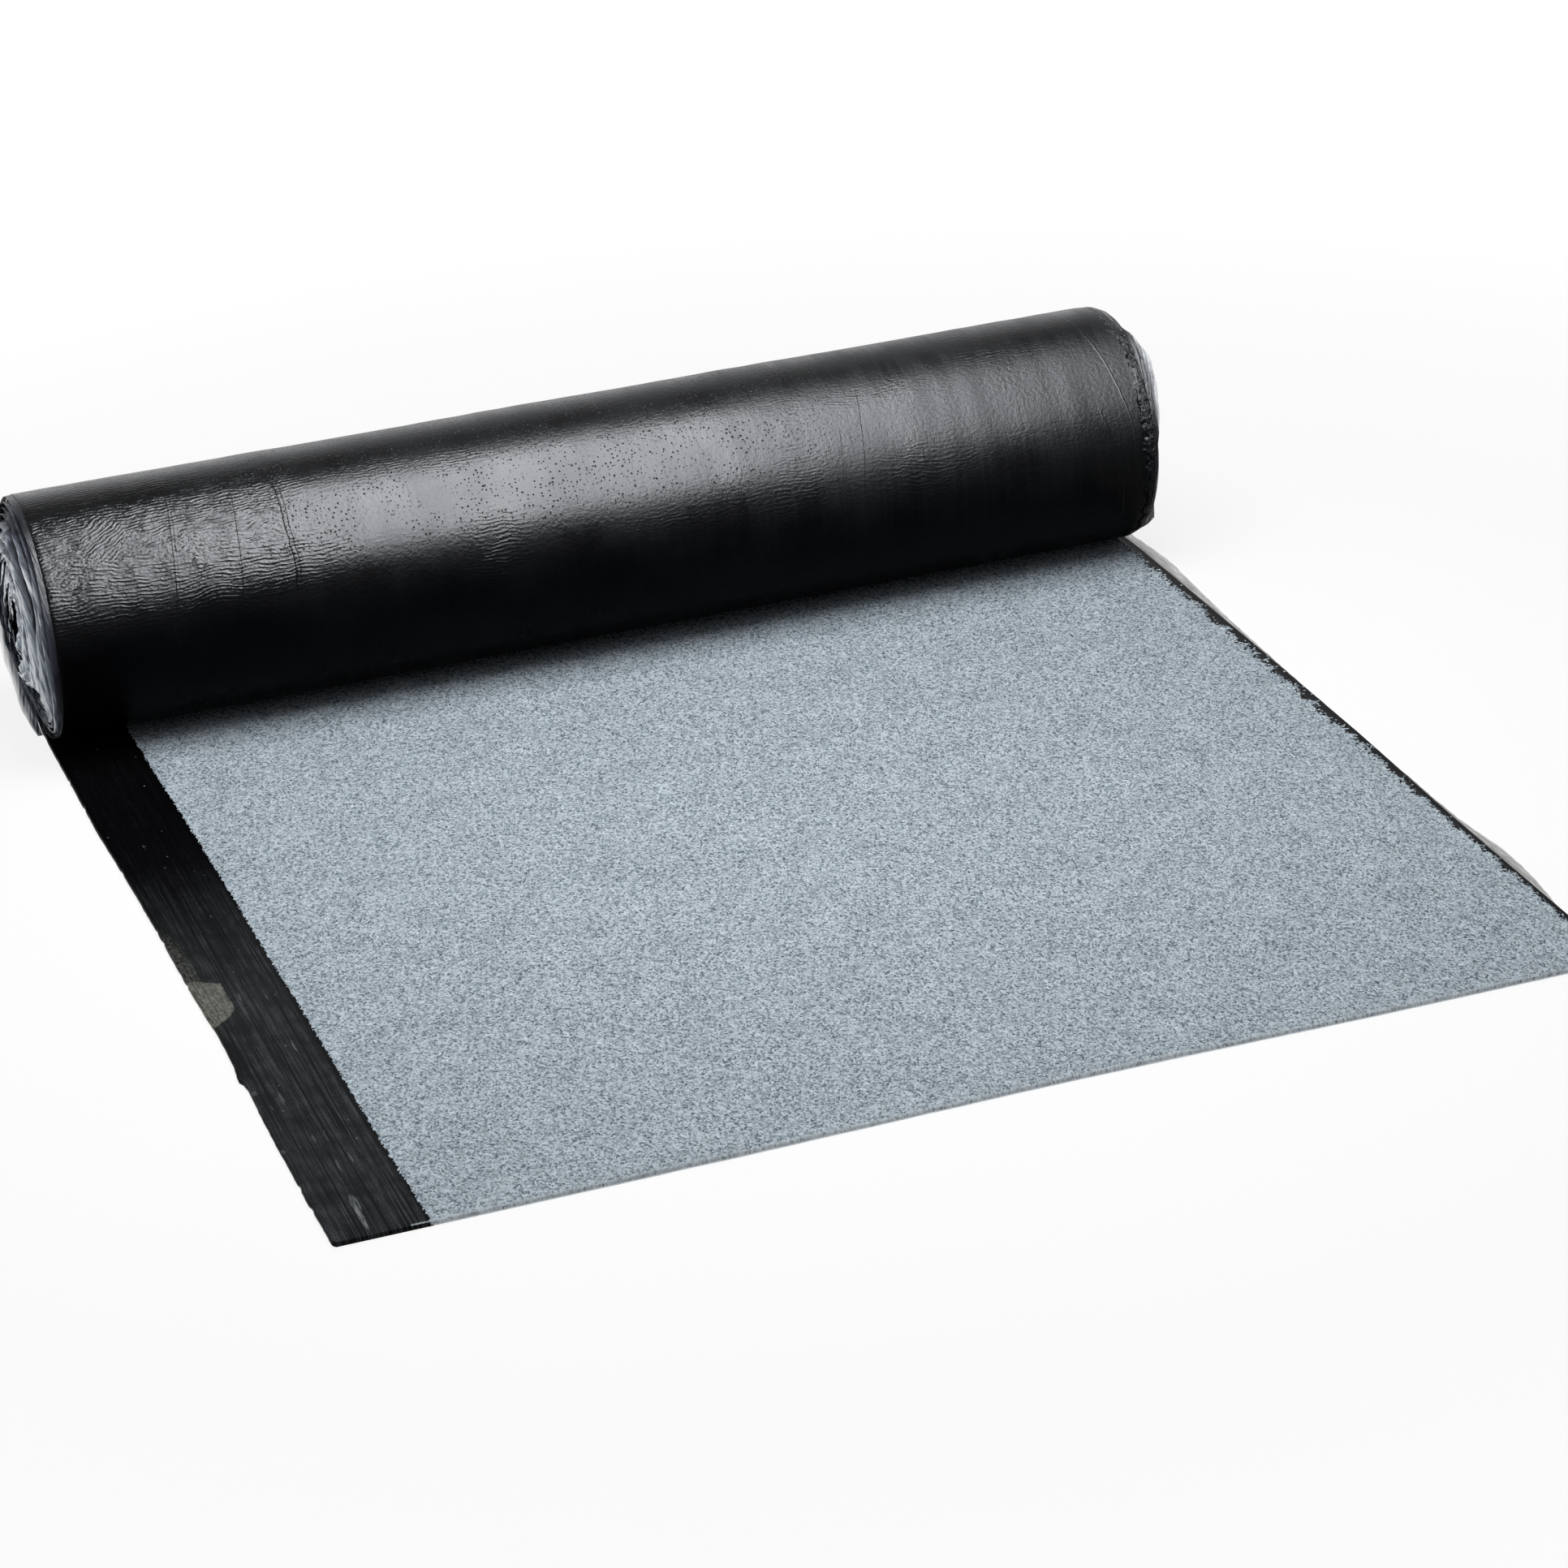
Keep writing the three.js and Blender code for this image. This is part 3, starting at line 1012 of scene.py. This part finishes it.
def makeLaidSheet():
    look = laidSheet
    sRange = (-strip["laidLength"], 0.0)
    materials = [chippings, sideLap, blackFilm, cutEnd]
    piece = addSlab("laidSheet", look, sRange, materials, chooseLaidMaterial)
    x, s, h = getPoints(piece).T
    keepAttribute(piece, "wrinkle", np.full(len(x), 0.2))
    top = h > strip["thickness"] / 2
    # the side lap lies lower, behind a ragged border of chippings
    outside, slope = look["lapStep"]
    border = leftX + follow(borderLine, s) - outside + noiseAlong(s, *look["borderNoise"])
    lowered = 1 - softStep(x, border - slope, border + slope)
    start, end, share = look["rightStep"]
    lowered = np.maximum(lowered, softStep(x, rightX - start, rightX - end) * share)
    # slight swells, but flat at the roll
    scale, height = look["waves"]
    swell = noiseOver(x, s, scale, 3) * height * softStep(-s, *look["wavesFrom"])
    raised = h - strip["selvedgeDrop"] * lowered + swell
    # the cut end is rounded over
    toCut = s + strip["laidLength"]
    over = np.clip(1 - toCut / look["cutRounding"], 0, 1) * (0.35 + 0.65 * (1 - lowered))
    raised = look["cutHeight"] + (raised - look["cutHeight"]) * np.sqrt(1 - over ** 2)
    h = np.where(top, raised, h)
    # and its left corner too, seen from above
    radius = look["cornerRadius"]
    intoX = np.clip(leftX + radius - x, 0, None)
    intoS = np.clip(radius - toCut, 0, None)
    pull = radius / np.maximum(np.hypot(intoX, intoS), 1e-9)
    beyond = (intoX > 0) & (intoS > 0) & (pull < 1)
    x = np.where(beyond, leftX + radius - intoX * pull, x)
    s = np.where(beyond, radius - strip["laidLength"] - intoS * pull, s)
    # the edges run as a real strip's do
    nicks = look["nickDepth"] * softStep(noiseAlong(s, look["nicks"]), 0.25, 0.45)
    leftLine = follow(look["leftEdge"], s) + noiseAlong(s, *look["edgeNoise"]) - nicks
    x = x - leftLine * nearLeft(x) + follow(look["rightEdge"], s) * nearRight(x)
    nearCut = 1 - softStep(toCut, 0, look["cutReach"])
    s = s + nearCut * (follow(look["cut"], x - midX) + noiseAlong(x, look["cutNoise"]))
    return windPiece(piece, x, np.clip(s, -strip["laidLength"], 0), h)


outerTurn = {
    "columns": 200,
    "rows": 130,
    "bevelSteps": 3,
    "mapRooms": (0.10, 0.84),
    "turns": 1.06,             # a little is hidden under the roll
    # places round it in turns from the ground, back and up: rises from, full from and to, gone by
    "free": (0.12, 0.25, 0.84, 0.95),
    "crushed": (0.42, 0.47, 0.53, 0.57),
    "lowFront": (0.865, 0.915),
    "bulge": 0.0006,
    "crush": 0.0026,           # how far the right corner is pressed in over the top
    "drawnIn": (0.0020, 0.0065, 0.0010),   # the right rim: all round, near the ground, where crushed
    "drawReach": 0.04,
    "crushReach": 0.018,
}


def chooseWoundMaterial(centre, normal):
    mineral = (normal[:, 2] > 0.5) & (centre[:, 0] > leftX + strip["lapWidth"])
    film = normal[:, 2] < -0.5
    return np.where(mineral, 0, np.where(film, 2, 1))


def freeTurn(turned):
    # 1 where the outer turn is clear of the ground, and 0 where it lies or bears on it
    return hump(turned, *outerTurn["free"])


def rimCrush(turned):
    # 1 where the right corner of the outer turn is crushed, over the top of the roll
    return hump(turned, *outerTurn["crushed"])


def rimDraw(turned):
    # how far the right edge of the outer turn is drawn in
    around, below, crushed = outerTurn["drawnIn"]
    low = softStep(turned, *outerTurn["lowFront"])
    drawn = around * freeTurn(turned) + below * low + crushed * rimCrush(turned)
    return drawn * (1 - softStep(turned, 1.0, outerTurn["turns"]))


def startShift(turned):
    # how far the strip's left edge stands out as it comes off the laid sheet
    return laidSheet["leftEdge"][-1][1] * (1 - softStep(turned, 0.0, 0.14))


def makeOuterTurn():
    look = outerTurn
    sRange = (0.0, lengthAt(look["turns"]))
    piece = addSlab("outerTurn", look, sRange, [chippings, sideLap, blackFilm], chooseWoundMaterial)
    x, s, h = getPoints(piece).T
    keepAttribute(piece, "wrinkle", wrinkleAmount(x, s))
    # the film side swells a little where it is free
    turned = angleAt(s) / fullTurn
    swell = noiseOver(x * 1.5, s, 8.0, 5) + 0.5 * noiseOver(x * 2.0, s * 0.5, 26.0, 6)
    h = h - look["bulge"] * np.clip(swell + 0.4, 0, 1.2) * freeTurn(turned)
    # the right rim draws in a little, most of all toward the ground
    x = x - rimDraw(turned) * nearRight(x, look["drawReach"])
    # its corner is crushed along the top
    crushed = rimCrush(turned) * nearRight(x, look["crushReach"])
    h = h + look["crush"] * crushed * (h < strip["thickness"] / 2)
    # and the left edge starts where the laid sheet's ends
    return windPiece(piece, x - startShift(turned) * nearLeft(x), s, h)


innerTurns = {
    "columns": 8,
    "rows": int(60 * (turnCount - outerTurn["turns"])),    # this many on each turn
    "stops": (((0.0, leftX), (0.25, leftX + 0.012), (0.75, rightX - 0.012), (1.0, rightX)),),
    "bevelSteps": 2,
    "mapRooms": (0.3, 0.3),
    "stagger": 0.0012,         # how far the turns' edges miss each other
    "staggerReach": (0.013, 0.001),    # how far in from the edge that begins, and is full
}


def makeInnerTurns():
    look = innerTurns
    # even steps of angle, so that small turns stay round
    piece = addSlab("innerTurns", look, (outerTurn["turns"], turnCount), [chippings, sideLap, blackFilm],
                    chooseWoundMaterial, lengthAt)
    x, s, h = getPoints(piece).T
    keepAttribute(piece, "wrinkle", np.full(len(x), 0.3))
    side = np.sign(x - midX)
    atEdge = softStep(strip["width"] / 2 - abs(x - midX), *look["staggerReach"])
    stagger = noiseOver(side, s * 2, 2.5, 7) - 1
    return windPiece(piece, x + stagger * look["stagger"] * side * atEdge, s, h)


for piece in (makeLaidSheet(), makeOuterTurn(), makeInnerTurns()):
    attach(piece, "root")
    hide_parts("felt")
    print("made", piece.name, len(piece.data.polygons), "faces")


endFilm = {
    "rowsPerTurn": 260,
    "columns": 10,
    "gap": (0.0002, 0.0003),   # clear of the felt, outward and inward
    "crumples": ((60.0, 0.0024), (150.0, 0.0012), (420.0, 0.000432)),     # (noise scale, metres)
    "pleats": 0.0010,
    "leftSeed": 11,
    "rightSeed": 23,
    "leftRoom": 0.0240,        # how far the crumpled film may stand out
    "rightRoom": 0.0150,
    # on the left, how long the margin is on each turn: (turns, metres), and how far it leans in
    "leftLength": (
        (0, 0.0035), (1, 0.0065), (2, 0.0100), (3, 0.0130), (4, 0.0155), (5, 0.018), (7, 0.022),
        (17, 0.024),
    ),
    "leftLean": ((0, 0.15), (2, 0.30), (4, 0.60), (6, 1.00), (9, 1.35), (17, 1.60)),
    # on the right, how far the outermost margin stands out round the face: (degrees, metres)
    "rightLength": (
        (-90, 0.001), (-60, 0.0008), (-50, 0.0010), (-47.5, 0.0072), (-43, 0.0088), (-36, 0.0062),
        (-28, 0.0024), (-20, 0.0010), (0, 0.0012), (5, 0.0022), (10, 0.0049), (14, 0.0072),
        (20, 0.0104), (30, 0.0127), (40, 0.0143), (50, 0.0139), (58, 0.0115), (64, 0.0080),
        (70, 0.0045), (77, 0.0016), (84, 0.0022), (96, 0.0026), (110, 0.0020), (270, 0.0030),
    ),
    # and how much of that length is black
    "rightBlack": (
        (-90, 0.009), (-24, 0.009), (-2, 0.0055), (10, 0.0048), (18, 0.0042), (28, 0.0038),
        (58, 0.0036), (68, 0.0044), (76, 0.0060), (112, 0.0065), (130, 0.0010), (270, 0.0010),
    ),
    "rightInner": ((1, 0.0022), (3, 0.0060), (6, 0.011), (10, 0.015), (17, 0.018)),
    # how milky the left end's film is on each turn, and how much of that is left at its root under painted
    # shade
    "leftMilk": ((0, 0.17), (1.2, 0.12), (2.6, 0.16), (4, 0.42), (17, 0.78)),
    "leftShadedRoot": ((0, 0.30), (3, 0.40), (6, 0.62), (17, 0.66)),
    "skirt": 0.0145,           # the loose part that hangs out low at the left end's back
    "upperDark": 0.60,         # the left end is this much darker above
    # places on the left end, as (angle from the ground, back and up, spread)
    "bareAt": (6.13, 0.80),
    "skirtAt": (1.05, 0.90),
    # where the left end's film is painted silvery, a painted reflection of the white surroundings
    "paintedReflectionAt": ((5.0, 1.0), (2.2, 0.8)),
    "darkAt": (math.pi, 0.85),
    "rightLean": ((0, 0.35), (1, 0.55), (2, 0.90), (4, 1.30), (8, 1.70), (17, 1.90)),
}


def nearAngle(angle, middle, spread):
    # 1 where an angle round the roll is near the middle one, falling to 0
    apart = (angle - middle + math.pi) % fullTurn - math.pi
    return np.exp(-(apart / spread) ** 2)


def leftMargin(turns, angle, away, slow, quick, ribbon):
    # length, lean, milkiness and cover: short outside, long and folded in toward the bore
    bare = nearAngle(angle, *endFilm["bareAt"]) * (1 - softStep(turns, 8.0, 11.0))
    skirt = nearAngle(angle, *endFilm["skirtAt"]) * (1 - softStep(turns, 0.9, 1.3))
    length = follow(endFilm["leftLength"], turns) * (1 + 0.18 * slow + 0.05 * quick + 0.22 * ribbon)
    length = length * (1 - 0.84 * bare) + endFilm["skirt"] * skirt
    lean = follow(endFilm["leftLean"], turns) + 0.30 * slow + 0.10 * quick + 0.25 * ribbon
    lean = lean - 0.25 * np.cos(angle) * softStep(turns, 3, 6)
    # painted reflection: the film is painted silvery on its ridges and at the places above
    paintedReflectionSpots = sum(nearAngle(angle, *place) for place in endFilm["paintedReflectionAt"])
    paintedSheen = softStep(ribbon + 0.25 * paintedReflectionSpots, -0.08, 0.16) * softStep(turns, 0.9, 2.4)
    milk = follow(endFilm["leftMilk"], turns) + 0.15 * quick
    # painted shade darkens the folds between the ridges
    paintedFoldShade = softStep(-ribbon + 0.5 * quick, 0.05, 0.35) * softStep(turns, 1.2, 2.6)
    milk = (milk * (1 - paintedSheen) + paintedSheen) * (1 - 0.7 * paintedFoldShade)
    # painted shade: each turn is darker behind the next one out; painted highlight: pale at its own edge
    tip = np.clip(1 - (1 - away) * length / 0.0050, 0, 1)
    root = follow(endFilm["leftShadedRoot"], turns)
    rim = (0.24 + 0.55 * bare) * (0.30 + 0.70 * softStep(turns, 0.9, 1.8))
    milk = milk * (root + (1 - root) * tip) + rim * softStep(tip, 0.84 - 0.30 * bare, 1.0)
    # and the upper part is darker
    upper = nearAngle(angle, *endFilm["darkAt"]) * (1 - softStep(turns, 4, 8))
    milk = milk * (1 - endFilm["upperDark"] * upper)
    cover = 0.99 - 0.85 * skirt * softStep(away, 0.60, 1.0)
    # the hanging skirt is milky film, painted paler still as painted light on its shaded inner face, and
    # palest toward its free edge
    outside = softStep(skirt, 0.25, 0.6)
    milk = milk * (1 - outside) + outside * (0.80 + 0.15 * ribbon + 0.30 * softStep(away, 0.6, 0.9))
    return length, lean, milk, cover


def rightMargin(turns, angle, away, slow, quick, ribbon):
    # the same on the right, where the outermost margin bulges over the upper front
    first = 1 - softStep(turns, 0.98, 1.05)
    degrees = 270 - np.degrees(angle)
    outer = follow(endFilm["rightLength"], degrees)
    outer = outer * (1 + 0.10 * quick) + 0.0012 * np.clip(ribbon * 2, -1, 1) * softStep(degrees, 72, 78)
    inner = follow(endFilm["rightInner"], turns) * (1 + 0.15 * slow + 0.15 * ribbon)
    length = first * outer + (1 - first) * inner
    lean = follow(endFilm["rightLean"], turns) + 0.20 * slow + 0.1 * quick
    ragged = noiseAt(np.cos(angle), np.sin(angle), away * 0.25, 24.0, 51)
    black = follow(endFilm["rightBlack"], degrees) + 0.0010 + 0.0014 * quick + 0.0028 * ragged
    beyond = softStep(away * length, black - 0.0005, black + 0.0010)
    # painted sheen on the inner turns' ridges, painted shade behind the next turn out and a painted
    # highlight at each edge
    paintedSheen = softStep(ribbon, -0.22, 0.22)
    tip = np.clip(1 - (1 - away) * length / 0.0040, 0, 1)
    within = (0.24 + 0.70 * paintedSheen) * (0.30 + 0.70 * tip) + 0.15 * softStep(tip, 0.80, 1.0)
    within = within * (0.35 + 0.65 * softStep(turns, 1.2, 3.0))
    milk = 0.12 + 0.72 * softStep(away, 0.35, 1.0) + 0.25 * quick + 0.35 * ragged
    milk = first * beyond * milk + (1 - first) * within
    cover = 1 - first * beyond * (0.05 + 0.42 * away ** 2)
    return length, lean, milk, cover


def makeEndFilm(side, marginAt):
    look = endFilm
    left = side == "left"
    outwards = -1 if left else 1
    seed = look[side + "Seed"]
    rows = int(look["rowsPerTurn"] * turnCount)
    piece = addFlatGrid("endFilm_" + side, (0, 1), (0, turnCount), look["columns"], rows)
    away, turns = getPoints(piece)[:, :2].T     # away: 0 on the felt, 1 at the free edge
    angle = turns * fullTurn
    ring = (np.cos(angle), np.sin(angle), turns * 0.30)
    slow = noiseAt(*ring, 1.6, seed)
    quick = noiseAt(*ring, 5.5, seed + 1)
    ribbon = noiseAt(*ring[:2], turns * 0.75, 1.3, seed + 9) * 1.4
    length, lean, milk, cover = marginAt(turns, angle % fullTurn, away, slow, quick, ribbon)
    keepFilmMaps(piece, turns, away, np.stack([away * length + turns * 0.1, lengthAt(turns)], 1))
    swing = np.clip(lean, 0.08, 2.5) * away ** 1.2
    reach = length * away * np.sinc(swing / fullTurn)
    outward = reach * np.cos(swing / 2)
    inward = reach * np.sin(swing / 2)
    # sharp pleats take up the length that the smaller circle doesn't need
    sharp = 1 - 2 * abs(noiseAt(*ring, 7.0, seed + 2))
    tuck = look["pleats"] * sharp * away * softStep(turns, 0.8, 4.0)
    outward = outward + tuck * 0.6
    inward = inward - tuck * 0.5
    outGap, inGap = look["gap"]
    radius = radiusAt(turns) - inGap - inward
    if not left:
        radius = radius - outerTurn["crush"] * rimCrush(turns)
    radius = np.maximum(radius, 0.008 + 0.004 * slow)
    edgeX = midX + outwards * strip["width"] / 2
    x = edgeX + outwards * (outward + outGap)
    y = axisY + radius * np.sin(angle)
    z = axisZ - radius * np.cos(angle)
    # crumples run longer round the roll than out from it
    folds = (away * length + turns * 0.013, y * 0.35, z * 0.35)
    loose = away * softStep(length, 0.003, 0.012)
    for scale, depth in look["crumples"]:
        bend = [depth * loose * noiseAt(*folds, scale, seed + 3 + axis) for axis in range(3)]
        x, y, z = x + bend[0], y + bend[1], z + bend[2]
    out = np.clip((x - edgeX) * outwards, outGap, look[side + "Room"])
    shift = startShift(turns) if left else -rimDraw(turns)
    keepAttribute(piece, "milk", np.clip(milk, 0, 1))
    keepAttribute(piece, "cover", np.clip(cover, 0, 1))
    setPoints(piece, edgeX + outwards * (out + shift), y, np.maximum(z, 0.0006))
    if left:
        flipFaces(piece)
    piece.data.materials.append(endFilmClear)
    smooth(piece, 70)
    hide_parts("end_film_" + side)
    return piece


marginFilm = {
    "rows": 320,
    "columns": 8,
    "front": 0.012,            # where it ends, short of the cut
    "leastWidth": 0.0012,
    "ragged": ((24.0, 31, 0.0006), (80.0, 32, 0.0003)),      # (noise scale, seed, metres)
    # width along the edge: (s, metres)
    "width": (
        (-0.980, 0.0012), (-0.900, 0.0014), (-0.870, 0.0030), (-0.830, 0.0075), (-0.790, 0.0100),
        (-0.765, 0.0100), (-0.735, 0.0070), (-0.700, 0.0045), (-0.640, 0.0028), (-0.553, 0.0020),
        (-0.393, 0.0022), (-0.300, 0.0042), (-0.212, 0.0064), (-0.150, 0.0105), (-0.097, 0.0128),
        (-0.050, 0.0116), (-0.015, 0.0095), (0.0, 0.0090),
    ),
    # how milky it is along the edge
    "milk": ((-0.98, 0.35), (-0.70, 0.30), (-0.40, 0.30), (-0.20, 0.55), (0.0, 0.75)),
}


def makeMarginFilm():
    look = marginFilm
    sRange = (-strip["laidLength"] + look["front"], 0.0)
    piece = addFlatGrid("marginFilm", (0.0, 1.0), sRange, look["columns"], look["rows"])
    away, s = getPoints(piece)[:, :2].T
    width = np.maximum(follow(look["width"], s) + noiseAlong(s, *look["ragged"]), look["leastWidth"])
    keepFilmMaps(piece, (s - sRange[0]) / (sRange[1] - sRange[0]) * 0.999, away,
                 np.stack([away * width, s], 1))
    raised = np.clip(0.6 + noiseAlong(s, (13.0, 33, 0.6), (60.0, 34, 0.4)), 0, 2)
    lift = 0.0009 + np.sin(away * 2.6) * raised * 0.12 * width
    lift = lift + 0.0006 * noiseOver(away * 0.01, s, 140.0, 35) * away
    x = rightX + follow(laidSheet["rightEdge"], s) + 0.0001 + width * away
    milk = follow(look["milk"], s) * (0.55 + 0.6 * away) + noiseAlong(s, (30.0, 36, 0.12))
    keepAttribute(piece, "milk", np.clip(milk, 0, 1))
    keepAttribute(piece, "cover", 0.85 - 0.25 * away)
    setPoints(piece, x, axisY + s, np.maximum(lift, 0.0003))
    piece.data.materials.append(edgeFilmClear)
    smooth(piece, 60)
    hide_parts("margin_film")
    return piece


for piece in (makeEndFilm("left", leftMargin), makeEndFilm("right", rightMargin), makeMarginFilm()):
    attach(piece, "root")
    print("made", piece.name, len(piece.data.polygons), "faces")


studio = {
    "floor": {"Base Color": (0.90, 0.90, 0.90, 1), "Roughness": 0.9, "Specular IOR Level": 0.0},
    "floorGlow": (0.80, 1.0),      # how much of the floor is plain white, near the object and far off
    "glowReach": (0.9, 1.9),       # from how far to how far that changes
    "floorWhite": 1.05,
    "fill": (0.155, 0.85),         # plain light from all round: in front and above, and from the left
    "fillLeft": (-0.45, -0.90),
    "fillLow": (0.12, 0.55, 0.25),  # below the second height it falls, to the last share at the first
    "seen": 1.0,                   # the white that the camera and glossy surfaces see
    # (place, aim, size, power): the main lamp, and a low one behind and to the left, for the left end
    "lamps": {
        "lamp": ((0.0, 0.04, 1.36), (0.0, 0.03, 0.0), (0.95, 1.05), 16.3),
        "side": ((-2.10, 1.15, 0.22), (-0.50, 0.436, 0.11), (0.50, 0.50), 8.5),
    },
    # panels that only gloss shows: a tall one in front, and a long low one behind
    "panels": {
        "panel": ((0.44, -0.52, 2.00), (0.44, 0.36, 0.18), (1.10, 3.0), 1700.0),
        "back": ((0.3, 3.5, 1.15), (0.3, 0.4, 0.1), (7.0, 2.2), 60.0),
    },
    "panelColour": (0.94, 0.96, 1.0),
}

camera = {
    "place": (-1.0841, -3.9148, 1.6746),     # from the point under the roll's axis
    "heading": 17.672,
    "down": 24.346,
    "roll": -3.842,
    "focal": 6050.3,           # in pixels of the frame
    "frame": 1932,
    "sensor": 36.0,
}


def seenMask(tree):
    # 1 for what the camera, gloss and clear film see
    path = addNode("ShaderNodeLightPath", tree=tree).outputs
    names = ("Is Camera Ray", "Is Glossy Ray", "Is Transmission Ray")
    return gather("MAXIMUM", [path[name] for name in names])


def makeFloor():
    deselectAll()
    bpy.ops.mesh.primitive_plane_add(size=40, location=(0, 0, 0))
    floor = bpy.context.active_object
    floor.name = "floor"
    material, tree, shader = newMaterial("floorWhite")
    for name, value in studio["floor"].items():
        feed(shader, name, value)
    # all plain white far off and most of it near, where the rest keeps the shadow
    place = addNode("ShaderNodeTexCoord", tree=tree).outputs["Object"]
    far = addNode("ShaderNodeVectorMath", {"operation": "LENGTH"}, i0=place).outputs["Value"]
    share = times(remap(far, *studio["glowReach"], *studio["floorGlow"]), seenMask(tree))
    glow = addNode("ShaderNodeEmission", None, tree, Color=(1, 1, 1, 1), Strength=studio["floorWhite"])
    both = addNode("ShaderNodeMixShader", Fac=share, i1=shader.outputs[0], i2=glow.outputs[0])
    output = [node for node in tree.nodes if node.type == "OUTPUT_MATERIAL"][0]
    feed(output, "Surface", both.outputs[0])
    floor.data.materials.append(material)


def makeWorld():
    world = bpy.data.worlds.new("studio")
    bpy.context.scene.world = world
    world.use_nodes = True
    tree = world.node_tree
    tree.nodes.clear()
    way = split(addNode("ShaderNodeTexCoord", tree=tree).outputs["Generated"])
    fill = mixNumber(remap(way["X"], *studio["fillLeft"]), *studio["fill"])
    fill = times(fill, remap(way["Z"], *studio["fillLow"], 1.0))
    strength = mixNumber(seenMask(tree), fill, studio["seen"])
    glow = addNode("ShaderNodeBackground", Color=(1, 1, 1, 1), Strength=strength)
    addNode("ShaderNodeOutputWorld", Surface=glow.outputs[0])


def makeLamp(name, place, aim, size, power):
    light = bpy.data.lights.new(name, "AREA")
    light.shape = "RECTANGLE"
    light.size, light.size_y = size
    light.energy = power
    lamp = bpy.data.objects.new(name, light)
    bpy.context.scene.collection.objects.link(lamp)
    lamp.location = place
    lamp.rotation_euler = (Vector(aim) - Vector(place)).to_track_quat("-Z", "Y").to_euler()
    return lamp


def makeCamera():
    data = bpy.data.cameras.new("camera")
    data.sensor_width = camera["sensor"]
    data.lens = camera["focal"] / camera["frame"] * camera["sensor"]
    data.clip_start = 0.1
    data.clip_end = 100
    view = bpy.data.objects.new("camera", data)
    bpy.context.scene.collection.objects.link(view)
    turn = Matrix.Rotation(-math.radians(camera["heading"]), 4, "Z")
    turn = turn @ Matrix.Rotation(math.pi / 2 - math.radians(camera["down"]), 4, "X")
    turn = turn @ Matrix.Rotation(math.radians(camera["roll"]), 4, "Z")
    place = Vector(camera["place"]) + Vector((midX, axisY, 0))
    view.matrix_world = Matrix.Translation(place) @ turn
    bpy.context.scene.camera = view


makeFloor()
makeWorld()
for name, settings in studio["lamps"].items():
    makeLamp(name, *settings).visible_glossy = False
for name, settings in studio["panels"].items():
    panel = makeLamp(name, *settings)
    panel.visible_diffuse = False
    panel.visible_transmission = False
    panel.visible_camera = False
    panel.data.color = studio["panelColour"]
makeCamera()
bpy.context.scene.view_settings.view_transform = "Standard"
print("stage made")
